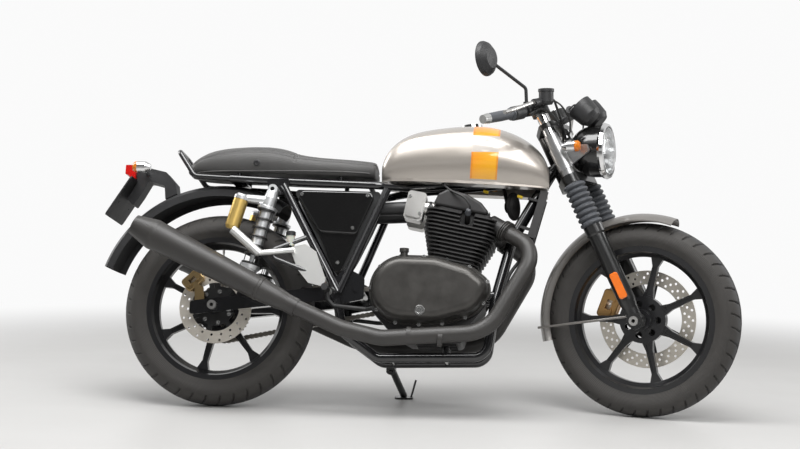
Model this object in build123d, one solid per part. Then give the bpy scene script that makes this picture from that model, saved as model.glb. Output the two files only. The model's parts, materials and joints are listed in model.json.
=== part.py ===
"""A cafe racer motorcycle with an air-cooled parallel twin, parked leaning on its side stand.

Millimetres and degrees.  Each piece is drawn on an upright bike that steers straight ahead: X is
forward, Y is the rider's left, Z is up, the floor is Z = 0 and the axles lie half a wheelbase from
X = 0.  Fork pieces are drawn in the fork's own frame, whose Z runs up the steering axis and whose
origin is level with the front axle.  At the end the fork is turned and the bike leans on its stand.
"""
from build123d import *
import math
import os

# Stance
wheelbase = 1400.0
rake = 24.5
trail = 98.0
lean = 12.2
steer_right = 21.0
steer_lock = 35.0

# Wheels and tyres
front_tyre_radius = 314.0
rear_tyre_radius = 318.0
front_tyre_half = 50.0
rear_tyre_half = 65.0
front_crown_drop = 22.0
rear_crown_drop = 27.0
crown_part = 0.86
tyre_wall = 9.0
bead_radius = 229.0
flange_height = 10.0
flange_width = 5.0
front_bead_half = 36.0
rear_bead_half = 47.0
spokes = 7
spoke_half_depth = 12.0
hub_ring_radius = 76.0
front_hub_half = 52.0
rear_hub_half = 72.0
running_gap = 0.1
seat_gap = 0.3

# Brakes
disc_thickness = 5.0
front_disc_radius = 160.0
rear_disc_radius = 120.0
front_disc_y = 58.0
rear_disc_y = 84.0
pad_gap = 1.5

# Axles
axle_radius = 10.0
axle_bore = 6.0
axle_nut = 11.5
front_axle_half = 136.0
rear_axle_half = 140.0

# Final drive
chain_pitch = 15.875
rear_teeth = 38
front_teeth = 15
chain_y = 84.0
chain_width = 17.0
sprocket_x = -165.0
sprocket_z = 370.0

# Fork and steering head
leg_spread = 97.0
stanchion_radius = 20.5
slider_radius = 28.0
slider_top = 335.0
boot_top = 486.0
boot_radius = 37.0
boot_folds = 8
low_yoke = 488.0
low_yoke_height = 30.0
top_yoke = 688.0
top_yoke_height = 18.0
stanchion_top = 772.0
stem_radius = 14.0
head_radius = 27.0

# Headlamp and clocks
lamp_radius = 93.0
lamp_depth = 118.0
lamp_forward = 164.0
lamp_height = 553.0
clock_radius = 43.0
clock_depth = 62.0
clock_spread = 47.0
clock_forward = 157.0
clock_height = 716.0
clock_tilt = 45.0

# Handlebars
bar_height = 758.0
bar_radius = 11.0
bar_length = 300.0
bar_sweep = 22.5
bar_drop = 2.5
grip_radius = 17.0
grip_length = 122.0
bar_end_length = 26.0

# Swingarm and shocks
pivot_x = -232.0
pivot_z = 378.0
arm_y = 113.0
arm_width = 30.0
arm_height = 44.0
arm_tail = 74.0
shock_y = 142.0
shock_top_x = -515.0
shock_top_z = 700.0
shock_foot_x = -598.0
shock_foot_z = 374.0
spring_radius = 31.0
spring_wire = 4.0
spring_turns = 7

# Frame
main_tube = 15.0
rear_tube = 13.0
rail_y = 104.0
frame_y = 143.0
frame_top_y = 116.0
spine_y = 40.0

# Engine
case_half = 112.0
cover_depth = 84.0
cylinder_tilt = 11.0
cylinder_x = 88.0
cylinder_z = 462.0
barrel_fins = 8
head_fins = 5
fin_pitch = 13.0
fin_thickness = 4.5
fin_foot = 158.0
fin_length = 236.0
fin_shift = -12.0
fin_width = 276.0

# Exhaust
pipe_radius = 26.0
silencer_radius = 50.0
silencer_neck = 38.0
silencer_y = 214.0

# Mirror
mirror_thread = 10.0
mirror_thread_depth = 14.0

# Stand
stand_radius = 11.5
stand_reach = 278.0
stand_foot_x = -96.0
stand_pivot_x = -132.0
stand_pivot_y = 146.0
stand_pivot_z = 150.0
stand_fold = 98.0


def vec(x, y, z):
    return Vector(x, y, z)


def rod(start, end, radius, end_radius=None):
    """Round bar or cone between two points."""
    a = Vector(*start)
    b = Vector(*end)
    length = (b - a).length
    place = Plane(origin=a, z_dir=b - a)
    if end_radius is None or abs(end_radius - radius) < 1e-6:
        body = Cylinder(radius, length, align=(Align.CENTER, Align.CENTER, Align.MIN))
    else:
        body = Cone(radius, end_radius, length, align=(Align.CENTER, Align.CENTER, Align.MIN))
    return place.location * body


def tube(points, radius, bend):
    """Bent round bar along straight runs joined by arcs."""
    path = FilletPolyline(*points, radius=bend)
    return sweep(Plane(origin=path @ 0, z_dir=path % 0) * Circle(radius), path=path)


def outline(points, corner=0.0):
    """Closed face with one corner radius."""
    if corner:
        return make_face(FilletPolyline(*points, radius=corner, close=True))
    return make_face(Polyline(*points, close=True))


def side_slab(face, y_from, y_to):
    """Side-view face of X and Z drawn out from one Y to another."""
    return extrude(Plane.XZ.offset(-y_from) * face, amount=y_from - y_to)


def turned(points, start, direction):
    """Turned body from (radius, distance) points along an axis."""
    face = make_face(Polyline(*points, close=True))
    body = revolve(Plane.XZ * face, Axis.Z)
    return Plane(origin=start, z_dir=direction).location * body


def flip(shape):
    """The same piece on the other side of the bike."""
    return mirror(shape, about=Plane.XZ)


def pair(shape):
    return [shape, flip(shape)]


def solids(items):
    """All solids of a piece or list of pieces as one compound."""
    found = []
    for item in items if isinstance(items, list) else [items]:
        found.extend(item.solids())
    return Compound(found)


# Fork frame
sin_rake = math.sin(math.radians(rake))
cos_rake = math.cos(math.radians(rake))
front_axle = vec(wheelbase / 2, 0, front_tyre_radius)
rear_axle = vec(-wheelbase / 2, 0, rear_tyre_radius)
fork_offset = front_tyre_radius * sin_rake - trail * cos_rake
fork_origin = front_axle - vec(cos_rake, 0, sin_rake) * fork_offset
steer_axis = vec(-sin_rake, 0, cos_rake)
FORK = Plane(origin=fork_origin, x_dir=(cos_rake, 0, sin_rake), z_dir=steer_axis).location


def crown_arc(half, drop):
    """Half width and radius of a tyre's crown arc."""
    edge = half * crown_part
    return edge, (edge ** 2 + drop ** 2) / (2 * drop)


def tyre(radius, half, drop, bead_half):
    edge, crown = crown_arc(half, drop)
    bulge = (radius - drop + bead_radius) / 2
    low = bead_radius + flange_height + 1
    foot = bead_half - tyre_wall
    inner = half - tyre_wall
    lid = radius - tyre_wall
    face = make_face([
        ThreePointArc((-edge, radius - drop), (0, radius), (edge, radius - drop)),
        ThreePointArc((edge, radius - drop), (half, bulge), (bead_half, low)),
        Line((bead_half, low), (bead_half, bead_radius)),
        Line((bead_half, bead_radius), (foot, bead_radius)),
        ThreePointArc((foot, bead_radius), (inner, bulge), (edge - tyre_wall, lid - drop)),
        ThreePointArc((edge - tyre_wall, lid - drop), (0, lid), (tyre_wall - edge, lid - drop)),
        ThreePointArc((tyre_wall - edge, lid - drop), (-inner, bulge), (-foot, bead_radius)),
        Line((-foot, bead_radius), (-bead_half, bead_radius)),
        Line((-bead_half, bead_radius), (-bead_half, low)),
        ThreePointArc((-bead_half, low), (-half, bulge), (-edge, radius - drop)),
    ])
    return revolve(Plane.YZ * face, Axis.Y)


def cast_wheel(bead_half, hub_half):
    """Rim, spokes with a channel on each side, ringed hub and axle bore."""
    lip = bead_half + flange_width
    half = [
        (lip, bead_radius + flange_height), (bead_half, bead_radius + flange_height),
        (bead_half, bead_radius), (bead_half - 18, bead_radius), (9, bead_radius - 17),
    ]
    under = [(11, bead_radius - 25), (bead_half - 12, bead_radius - 13), (lip, bead_radius - 8)]
    right = half + [(-y, r) for y, r in reversed(half)] + [(-y, r) for y, r in reversed(under)] + under
    barrel = revolve(Plane.YZ * outline(right), Axis.Y)
    inner = hub_ring_radius - 12
    outer = bead_radius - 18
    shape = outline([
        (inner, -20), (hub_ring_radius + 26, -11), (outer - 34, -9), (outer, -22),
        (outer, 22), (outer - 34, 9), (hub_ring_radius + 26, 11), (inner, 20),
    ])
    channel = outline([
        (hub_ring_radius + 6, -8), (outer - 34, -4.5), (outer - 34, 4.5), (hub_ring_radius + 6, 8),
    ])
    spoke = side_slab(shape, -spoke_half_depth, spoke_half_depth)
    spoke -= side_slab(channel, -spoke_half_depth, 5 - spoke_half_depth)
    spoke -= side_slab(channel, spoke_half_depth - 5, spoke_half_depth)
    hub = rod((0, -hub_half, 0), (0, hub_half, 0), 34)
    ring = rod((0, -spoke_half_depth - 4, 0), (0, spoke_half_depth + 4, 0), hub_ring_radius)
    windows = [
        Rot(0, (k + 0.5) * 360 / spokes, 0) * rod((51, -60, 0), (51, 60, 0), 11) for k in range(spokes)
    ]
    wheel = barrel + hub + (ring - windows)
    wheel = wheel + [Rot(0, k * 360 / spokes, 0) * spoke for k in range(spokes)]
    return wheel - rod((0, -hub_half - 1, 0), (0, hub_half + 1, 0), axle_radius + running_gap)


def brake_disc(radius, y, land, holes, rings):
    """Drilled rotor on a spider, centred at one Y."""
    face = Circle(radius) - Circle(radius - land)
    for row, ring in enumerate(rings):
        face -= [place * Circle(4.2) for place in PolarLocations(radius - land * ring, holes, row * 5.0)]
    hub = Circle(62) - Circle(24)
    arm = Pos((radius - land + 62) / 2, 0) * Rectangle(radius - land - 62 + 12, 16)
    face += hub + [Rot(0, 0, k * 360 / spokes) * arm for k in range(spokes)]
    return side_slab(face, y - disc_thickness / 2, y + disc_thickness / 2)


def sprocket(teeth, y, width, bore):
    """Toothed ring whose tips stay inside the chain."""
    pitch_radius = chain_pitch / math.sin(math.pi / teeth) / 2
    tip = pitch_radius - 8.6
    root = tip - 5
    points = []
    for k in range(teeth):
        for share, radius in ((0.0, root), (0.3, root), (0.55, tip), (0.75, tip)):
            angle = (k + share) * 2 * math.pi / teeth
            points.append((radius * math.cos(angle), radius * math.sin(angle)))
    face = outline(points) - Circle(bore)
    face -= [place * Circle(11) for place in PolarLocations((root + bore) / 2, 6)]
    return side_slab(face, y - width / 2, y + width / 2)


def chain_loop():
    """Roller chain as one loop, scalloped link by link on both edges."""
    big = chain_pitch / math.sin(math.pi / rear_teeth) / 2
    small = chain_pitch / math.sin(math.pi / front_teeth) / 2
    run_x = sprocket_x - rear_axle.X
    run_z = sprocket_z - rear_axle.Z
    reach = math.hypot(run_x, run_z)
    base = math.atan2(run_z, run_x)
    swing = math.acos((big - small) / reach)
    straight = math.sqrt(reach ** 2 - (big - small) ** 2)
    wrap_small = 2 * swing * small
    wrap_big = (2 * math.pi - 2 * swing) * big
    total = 2 * straight + wrap_small + wrap_big
    links = 2 * round(total / chain_pitch / 2)

    def at(share, out):
        s = (share % 1.0) * total
        up = base + swing
        low = base - swing
        if s < straight:
            turn, centre, radius, along = up, (rear_axle.X, rear_axle.Z), big, s
            direction = (math.sin(up), -math.cos(up))
        elif s < straight + wrap_small:
            turn, centre, radius, along = up - (s - straight) / small, (sprocket_x, sprocket_z), small, 0
            direction = (0, 0)
        elif s < 2 * straight + wrap_small:
            turn, centre, radius = low, (sprocket_x, sprocket_z), small
            along = s - straight - wrap_small
            direction = (math.sin(low), -math.cos(low))
        else:
            turn = low - (s - 2 * straight - wrap_small) / big
            centre, radius, along, direction = (rear_axle.X, rear_axle.Z), big, 0, (0, 0)
        x = centre[0] + (radius + out) * math.cos(turn) + along * direction[0]
        z = centre[1] + (radius + out) * math.sin(turn) + along * direction[1]
        return x, z

    def edge(pin, waist):
        arcs = []
        for k in range(links):
            arcs.append(ThreePointArc(
                at((k - 0.5) / links, waist), at(k / links, pin), at((k + 0.5) / links, waist)))
        return Wire(arcs)

    face = Face(edge(7.6, 5.4), [edge(-7.6, -5.4)])
    if face.normal_at().Z < 0:
        face = -face
    return side_slab(face, chain_y - chain_width / 2, chain_y + chain_width / 2)


def mudguard(radius, half, rise, skirt, sheet, first, last):
    """Arched guard swept about a wheel's axis between two angles from +X towards +Z."""
    edge = half
    crown = radius
    low = half - sheet
    under = radius - sheet
    foot = crown - rise - skirt
    face = make_face([
        ThreePointArc((-edge, crown - rise), (0, crown), (edge, crown - rise)),
        Line((edge, crown - rise), (edge, foot)),
        Line((edge, foot), (low, foot)),
        Line((low, foot), (low, under - rise)),
        ThreePointArc((low, under - rise), (0, under), (-low, under - rise)),
        Line((-low, under - rise), (-low, foot)),
        Line((-low, foot), (-edge, foot)),
        Line((-edge, foot), (-edge, crown - rise)),
    ])
    body = revolve(Plane.YZ * face, Axis.Y, last - first)
    return Rot(0, 90 - last, 0) * body


def body_loft(stations):
    """Rounded body through cross-sections: x, bottom, bottom half width, widest half and its height,
    shoulder half and its height, top."""
    faces = []
    for x, low, foot, wide, wide_z, neck, neck_z, top in stations:
        face = make_face([
            Line((-foot, low), (foot, low)),
            ThreePointArc((foot, low), (wide, wide_z), (neck, neck_z)),
            ThreePointArc((neck, neck_z), (0, top), (-neck, neck_z)),
            ThreePointArc((-neck, neck_z), (-wide, wide_z), (-foot, low)),
        ])
        faces.append(Plane(origin=(x, 0, 0), x_dir=(0, 1, 0), z_dir=(1, 0, 0)) * face)
    return loft(faces)


# Rear wheel pieces
rear_place = Pos(rear_axle.X, 0, rear_axle.Z)
rear_tyre = rear_place * tyre(rear_tyre_radius, rear_tyre_half, rear_crown_drop, rear_bead_half)
rear_rim = rear_place * cast_wheel(rear_bead_half, rear_hub_half)
rear_disc = rear_place * brake_disc(rear_disc_radius, -rear_disc_y + 9.5, 40, 18, (0.24, 0.7))
rear_sprocket = rear_place * sprocket(rear_teeth, chain_y, 7, 37)
sprocket_carrier = rear_place * (
    rod((0, rear_hub_half, 0), (0, chain_y - 3.5, 0), 58)
    - rod((0, rear_hub_half - 1, 0), (0, chain_y, 0), axle_radius + running_gap)
)
rear_sprocket = rear_sprocket + sprocket_carrier


# Front wheel pieces, in the fork frame
front_place = Pos(fork_offset, 0, 0)
front_tyre = front_place * tyre(front_tyre_radius, front_tyre_half, front_crown_drop, front_bead_half)
front_rim = front_place * cast_wheel(front_bead_half, front_hub_half)
front_disc = front_place * brake_disc(front_disc_radius, front_disc_y - 3.5, 46, 28, (0.22, 0.5, 0.78))


# Frame
head_low = low_yoke + low_yoke_height + 2
head_high = top_yoke - 2


def on_axis(height):
    return fork_origin + steer_axis * height


def frame_spine():
    """Steering head, spine tubes under the tank and seat rails."""
    head = rod(on_axis(head_low), on_axis(head_high), head_radius)
    mid = on_axis((head_low + head_high) / 2 - 30)
    rail = tube([
        (mid.X, 14, mid.Z), (300, spine_y, 768), (-70, spine_y, 733), (-170, rail_y, 727),
        (-480, rail_y, 736), (-668, 98, 746)], rear_tube, 45)
    bridge = Pos(-645, 0, 740.05) * Box(46, 176, 6)
    crossing = rod((-200, -rail_y, 727), (-200, rail_y, 727), 9)
    rests = []
    for side in (-1, 1):
        rests.append(rod((-112, side * 67, 731), (-112, side * 67, 745), 6))
        rests.append(rod((-300, side * 90, 727), (-300, side * 90, 756.8), 8))
        rests.append(rod((-640, side * 92, 744), (-640, side * 92, 765.1), 8))
    body = head + rail + flip(rail) + bridge + crossing + rests
    return body - rod(on_axis(head_low - 5), on_axis(head_high + 5), stem_radius + running_gap)


def frame_cradle():
    """Down tubes that run on as the lower rails and up to the swingarm pivot."""
    low = on_axis(head_low + 56)
    rail = tube([
        (low.X - 10, 14, low.Z), (344, 40, 706), (270, 52, 572), (216, 84, 362), (192, 104, 170),
        (-160, 104, 160), (-272, 130, 240), (-290, 136, 345)], main_tube, 48)
    crossing = [rod((x, -104, z), (x, 104, z), 10) for x, z in ((60, 167), (-120, 161))]
    lugs = [rod((219, y, 374), (150, y, 366), 13) for y in (-83, 83)]
    lugs += [rod((60, y, 167), (60, y, 240), 12) for y in (-55, 55)]
    body = rail + flip(rail) + crossing + lugs
    return body - rod(on_axis(head_low - 5), on_axis(head_high + 5), head_radius)


def frame_rear():
    """V tubes, pivot plates with their bolt, peg hangers and shock studs."""
    front = rod((-142, frame_top_y, 712), (-284, frame_y, 366), rear_tube)
    back = rod((-487, frame_top_y, 722), (-290, frame_y, 366), rear_tube)
    plate = side_slab(outline([(-312, 322), (-206, 344), (-204, 416), (-262, 446), (-320, 396)], 14), 130, 142)
    hanger = tube([(-400, frame_y - 12, 545), (-534, 176, 482), (-330, frame_y, 408)], 8, 20)
    gusset = side_slab(outline([(-542, 742), (-462, 742), (-476, 690), (-532, 684)], 10), 110, 122)
    stud = rod((shock_top_x, 112, shock_top_z), (shock_top_x, shock_y + 17, shock_top_z), 7)
    side = front + back + plate + hanger + gusset + stud
    bolt = rod((pivot_x, -146, pivot_z), (pivot_x, 146, pivot_z), 9)
    return side + flip(side) + bolt


def swingarm():
    """Box-section arms, pivot tube, brace and shock lugs."""
    slope = (rear_axle.Z - pivot_z) / (rear_axle.X - pivot_x)
    tail = rear_axle.X - arm_tail
    tail_z = rear_axle.Z - arm_tail * slope
    half = arm_height / 2
    arm = side_slab(outline([
        (pivot_x + 22, pivot_z - half), (tail, tail_z - half), (tail, tail_z + half),
        (pivot_x + 22, pivot_z + half)], 8), arm_y - arm_width / 2, arm_y + arm_width / 2)
    arm_z = pivot_z + (shock_foot_x - pivot_x) * slope
    lug = side_slab(outline([
        (shock_foot_x - 32, arm_z), (shock_foot_x + 32, arm_z),
        (shock_foot_x + 15, shock_foot_z + 15), (shock_foot_x - 15, shock_foot_z + 15)], 5), 108, 124)
    stud = rod((shock_foot_x, 112, shock_foot_z), (shock_foot_x, shock_y + 17, shock_foot_z), 7)
    side = arm + lug + stud
    cross = rod((pivot_x, -arm_y, pivot_z), (pivot_x, arm_y, pivot_z), 19)
    brace = rod((pivot_x - 92, -arm_y, pivot_z - 10), (pivot_x - 92, arm_y, pivot_z - 10), 14)
    body = side + flip(side) + cross + brace
    body -= rod((pivot_x, -200, pivot_z), (pivot_x, 200, pivot_z), 9)
    return body - rod((rear_axle.X, -200, rear_axle.Z), (rear_axle.X, 200, rear_axle.Z), axle_radius)


def axle(half, collar_from, collar_to, collar_radius):
    """Hollow axle with end nuts and the collars that centre the wheel."""
    body = rod((0, -half, 0), (0, half, 0), axle_radius)
    for side in (-1, 1):
        body += rod((0, side * collar_from, 0), (0, side * collar_to, 0), collar_radius)
        body += rod((0, side * (half - axle_nut), 0), (0, side * half, 0), 15)
    return body - rod((0, -half - 1, 0), (0, half + 1, 0), axle_bore)


def shocks():
    """Bodies, springs and side reservoirs of the two shocks."""
    top = vec(shock_top_x, shock_y, shock_top_z)
    foot = vec(shock_foot_x, shock_y, shock_foot_z)
    line = foot - top
    length = line.length
    eye = rod((shock_top_x, shock_y - 14, shock_top_z), (shock_top_x, shock_y + 14, shock_top_z), 16)
    low_eye = rod((shock_foot_x, shock_y - 14, shock_foot_z), (shock_foot_x, shock_y + 14, shock_foot_z), 16)
    body = turned([
        (0, 0), (18, 0), (22, 30), (22, 58), (33, 62), (33, 70), (21, 70), (21, 196), (8, 200),
        (8, length - 78), (33, length - 78), (33, length - 66), (17, length - 52), (14, length),
        (0, length)], top, line)
    bridge_end = vec(shock_top_x - 102, shock_y + 6, shock_top_z - 30)
    can_way = vec(-27, 0, -96)
    bridge = rod(top + line.normalized() * 40, bridge_end, 17, 13)
    cap = turned([(0, -12), (18, -12), (25, -4), (25, 6), (0, 6)], bridge_end, can_way)
    body = eye + low_eye + body + bridge + cap
    body -= rod((shock_top_x, 0, shock_top_z), (shock_top_x, 200, shock_top_z), 7)
    body -= rod((shock_foot_x, 0, shock_foot_z), (shock_foot_x, 200, shock_foot_z), 7)
    first = 70 + spring_wire
    last = length - 78 - spring_wire
    step = (last - first) / (spring_turns - 1)
    coil_radius = spring_radius - spring_wire
    place = Plane(origin=top, z_dir=line).location
    ties = [Rot(0, 0, 120 * k + 40) * rod((coil_radius, 0, first), (coil_radius, 0, last), 1.6) for k in range(3)]
    turns = [Pos(0, 0, first + k * step) * Torus(coil_radius, spring_wire) for k in range(spring_turns)]
    spring = place * (turns[0] + turns[1:] + ties)
    can = turned([
        (0, 6.3), (24, 6.3), (24, 98), (19, 108), (0, 108)], bridge_end, can_way)
    return body, spring, can - body


# Engine
cylinder_place = Plane(
    origin=(cylinder_x, 0, cylinder_z), x_dir=(math.cos(math.radians(cylinder_tilt)), 0,
                                               -math.sin(math.radians(cylinder_tilt))),
    z_dir=(math.sin(math.radians(cylinder_tilt)), 0, math.cos(math.radians(cylinder_tilt)))).location
barrel_top = 14 + barrel_fins * fin_pitch
head_top = barrel_top + head_fins * fin_pitch


def plate(length, width, corner, low, high, x=0.0):
    face = Pos(x, 0, low) * RectangleRounded(length, width, corner)
    return extrude(face, amount=high - low)


header_port = (cylinder_place * Pos(fin_length / 2 + fin_shift + 18, 100, barrel_top + 30)).position
header_knee = vec(349, 158, 512)
port_way = (header_knee - header_port).normalized()


def cylinder_block():
    """Finned barrels and head, wider towards the top, with a plug recess on each side and the ports."""
    body = plate(fin_foot - 26, fin_width - 44, 24, 0, barrel_top, fin_shift)
    body += plate(fin_length - 40, fin_width - 44, 24, barrel_top - 30, head_top, fin_shift)
    fins = []
    for k in range(barrel_fins + head_fins):
        low = 12 + k * fin_pitch
        grow = min(1.0, (k + 1) / barrel_fins)
        length = fin_foot + (fin_length - fin_foot) * grow
        fins.append(plate(length, fin_width - 14 * (1 - grow), 44, low, low + fin_thickness, fin_shift))
    body = body + fins
    recess = Pos(4, 0, barrel_top + 44) * Box(44, 400, 52)
    keep = Pos(4, 0, barrel_top + 44) * Box(60, fin_width - 84, 120)
    body = body - (recess - keep)
    for side in (-1, 1):
        body += rod((4, side * (fin_width / 2 - 44), barrel_top + 34),
                    (4, side * (fin_width / 2 - 2), barrel_top + 56), 9)
        body += rod((30 - fin_length / 2, side * 75, barrel_top + 50),
                    (-fin_length / 2 - 14, side * 75, barrel_top + 56), 25)
    stub = rod(header_port - port_way * 50, header_port, pipe_radius + 4)
    return cylinder_place * body + stub + flip(stub)


def rocker_cover():
    """Two domed cam boxes that slope down to the front, with a saddle between them."""
    side = outline([
        (-116, head_top), (-106, head_top + 40), (-78, head_top + 62), (-14, head_top + 57),
        (38, head_top + 38), (82, head_top)], 10)
    box = side_slab(side, -fin_width / 2 + 16, fin_width / 2 - 16)
    box = fillet(box.edges().filter_by(GeomType.LINE).filter_by(Axis.Y, reverse=True), 9)
    body = box - Pos(0, 0, head_top + 74) * Box(400, 54, 60)
    for x, z in ((-98, 26), (64, 10)):
        for y in (-96, 96):
            body += rod((x, y, head_top), (x, y, head_top + z), 9)
    return cylinder_place * body


def engine_cases():
    side = outline([
        (-186, 318), (-186, 420), (-150, 468), (-40, 492), (140, 462), (188, 410), (184, 330),
        (134, 270), (112, 212), (-60, 212), (-120, 246)], 16)
    body = side_slab(side, -case_half, case_half)
    deck = cylinder_place * plate(fin_foot - 10, fin_width - 26, 30, -46, 0, fin_shift)
    ribs = [Pos(30, y, 210) * Box(130, 5, 10) for y in (-84, -28, 0, 28, 84)]
    body = body + deck + ribs
    body -= Pos(-172, 95, 370) * Box(124, 50, 300)
    drive = chain_pitch / math.sin(math.pi / front_teeth) / 2 - 7.9
    body += rod((sprocket_x, 60, sprocket_z), (sprocket_x, chain_y + 3, sprocket_z), drive)
    return body - cylinder_place * Pos(0, 0, 200) * Box(600, 600, 400)


cover_circles = (
    # x, z, radius
    (-76, 380, 111),
    (14, 378, 112),
    (100, 378, 88),
    (148, 386, 52),
)


def engine_cover():
    """Egg-shaped outer cover of the left side, with its flange and domed face."""
    def egg(grow):
        edges = ShapeList()
        for x, z, radius in cover_circles:
            edges += (Pos(x, z) * Circle(radius + grow)).edges()
        return make_hull(edges)

    flange = side_slab(egg(3), case_half, case_half + 14)
    dome = extrude(Plane.XZ.offset(-case_half - 14) * egg(-3), amount=-(cover_depth - 14), taper=8)
    dome = fillet(dome.faces().sort_by(Axis.Y)[-1].edges(), 30)
    return flange + dome


def sight_and_filler():
    """Filler neck on the top edge and level window, on a left cover that is mirrored later."""
    neck = rod((-78, case_half + 31, 452), (-78, case_half + 31, 508), 12)
    neck += rod((-78, case_half + 31, 500), (-78, case_half + 31, 512), 15)
    window = rod((-20, case_half + 40, 306), (-20, case_half + cover_depth - 8, 306), 17)
    return neck + window


def intake_body():
    """Polished throttle body with its cover and screws."""
    block = Box(62, 60, 96)
    block = Pos(-50, 75, 662) * Rot(0, cylinder_tilt, 0) * fillet(block.edges().filter_by(Axis.Y), 12)
    lid = Box(48, 8, 80)
    lid = Pos(-50, 108, 662) * Rot(0, cylinder_tilt, 0) * fillet(lid.edges().filter_by(Axis.Y), 9)
    spigot = rod((-30, 75, 660), (10, 75, 655), 24)
    return block + lid + spigot


def airbox():
    side = outline([
        (-455, 712), (-160, 708), (-205, 600), (-252, 500), (-286, 440), (-312, 440), (-360, 528)], 12)
    body = side_slab(side, -94, 94)
    boots = []
    for side_sign in (-1, 1):
        boots.append(rod((-210, side_sign * 70, 652), (-60, side_sign * 71, 660), 22))
    return body + boots


def side_cover():
    """Panel that fills the V of the frame, with a lower pane set in below its fold."""
    panel = side_slab(outline([(-450, 706), (-176, 703), (-236, 560), (-362, 566)], 20), 94.3, 118)
    panel = fillet(panel.faces().sort_by(Axis.Y)[-1].edges(), 7)
    return panel + side_slab(outline([(-366, 580), (-230, 574), (-287, 440), (-309, 440)], 7), 94.3, 108)


# Tank and seat
# x, bottom, bottom half width, widest half and its height, shoulder half and its height, top
tank_stations = (
    (-166, 749, 62, 74, 770, 58, 806, 818),
    (-132, 747, 84, 102, 795, 84, 858, 881),
    (-60, 744, 98, 122, 815, 100, 890, 926),
    (80, 739, 106, 137, 825, 112, 908, 950),
    (210, 734, 106, 139, 822, 112, 904, 946),
    (300, 730, 100, 132, 806, 104, 874, 912),
    (360, 728, 92, 118, 786, 92, 834, 862),
    (386, 727, 84, 102, 758, 84, 786, 800),
)
seat_stations = (
    (-186, 757, 64, 84, 785, 68, 812, 820),
    (-270, 757, 95, 109, 788, 88, 817, 826),
    (-360, 758, 104, 117, 790, 94, 821, 832),
    (-450, 760, 106, 120, 796, 96, 832, 846),
)
hump_stations = (
    (-450, 760, 106, 120, 796, 96, 832, 846),
    (-522, 763, 106, 120, 804, 96, 850, 868),
    (-600, 765, 104, 118, 806, 92, 854, 871),
    (-690, 766, 97, 107, 806, 80, 849, 866),
    (-776, 768, 73, 82, 799, 58, 830, 843),
    (-828, 770, 34, 40, 779, 28, 788, 792),
)


def fuel_tank():
    body = body_loft(tank_stations)
    low = [(x, foot + 7) for x, z, foot, *rest in tank_stations]
    rim = outline(low + [(x, -y) for x, y in reversed(low)], 12)
    lip = Pos(0, 0, 700) * extrude(rim, amount=80)
    slope = outline([(-300, 752.3), (500, 722.9), (500, 733.9), (-300, 763.3)])
    lip = lip & side_slab(slope, -300, 300)
    tunnel = side_slab(outline([(-300, 600), (450, 600), (450, 880), (300, 806), (-300, 772)]), -62, 62)
    return (body + lip) - tunnel


def fuel_cap():
    cap = rod((128, 0, 948), (127, 0, 958), 36)
    return cap


silencer_start = vec(-412, silencer_y - 8, 305)
silencer_end = vec(-946, silencer_y + 18, 560)


def exhaust_header():
    """Header, knee and low link pipe of the left side, with a finned collar at the port."""
    start = header_port + port_way * seat_gap
    body = tube([
        start, header_knee, (194, 190, 241), (-140, 196, 215), (-266, 202, 243), silencer_start],
        pipe_radius, [78, 130, 120, 120])
    body += rod(start, start + port_way * 26, pipe_radius + 4)
    for k in range(3):
        fin = start + port_way * (3 + 8 * k)
        body += rod(fin, fin + port_way * 4, pipe_radius + 11)
    for x in (-60, 40):
        body += rod((x, 193.4, 222 - x / 16), (x + 14, 193, 221 - x / 16), pipe_radius + 1.5)
    return body


def silencer():
    way = (silencer_end - silencer_start).normalized()
    length = (silencer_end - silencer_start).length
    body = turned([
        (0, 0.3), (pipe_radius + 3, 0.3), (pipe_radius + 3, 34), (pipe_radius + 7, 60), (silencer_neck, 128),
        (silencer_neck + 2, 130), (silencer_neck + 2, 138), (silencer_neck, 140),
        (silencer_radius - 1, length - 84), (silencer_radius, length - 78), (silencer_radius, length - 70),
        (33, length), (25, length), (25, length - 120), (0, length - 120)], silencer_start, way)
    strap = rod(silencer_start + way * 345 + vec(0, -30, 6), silencer_start + way * 345 + vec(0, -62, 30), 8)
    return body + strap


# Rear bodywork
guard_radius = 420.0
guard_first = 58.0
guard_last = 161.0
rear_guard = rear_place * mudguard(guard_radius, 80, 25, 22, 3, guard_first, guard_last)


def from_rear(x, z):
    """Point given from the rear axle."""
    return (rear_axle.X + x, rear_axle.Z + z)


def plate_holder():
    """Tail bracket on the guard with the plate's backing sheet and its two bolt holes."""
    bracket = side_slab(outline([
        from_rear(-308, 462), from_rear(-258, 474), from_rear(-205, 462), from_rear(-170, 424),
        from_rear(-162, 376), from_rear(-202, 364), from_rear(-208, 416), from_rear(-262, 430),
        from_rear(-290, 378), from_rear(-312, 344), from_rear(-334, 368), from_rear(-304, 420)], 5), -30, 30)
    bracket -= rear_place * rod((0, -200, 0), (0, 200, 0), guard_radius + seat_gap)
    sheet_place = Plane(origin=plate_origin, x_dir=(0, 1, 0), z_dir=plate_normal).location
    sheet = extrude(RectangleRounded(200, 156, 10), amount=4)
    holes = [Pos(x, 20, -1) * Cylinder(3.3, 12) for x in (-plate_bolt_half, plate_bolt_half)]
    return bracket + sheet_place * (sheet - holes)


plate_bolt_half = 62.0
plate_origin = (rear_axle.X - 343, 0, rear_axle.Z + 365)
plate_normal = (-0.854, 0, 0.52)


def tail_lens():
    return side_slab(outline([
        from_rear(-308.3, 484), from_rear(-308.3, 424), from_rear(-322, 418), from_rear(-330, 448),
        from_rear(-344, 452), from_rear(-344, 484)], 4), -38, 38)


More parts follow.
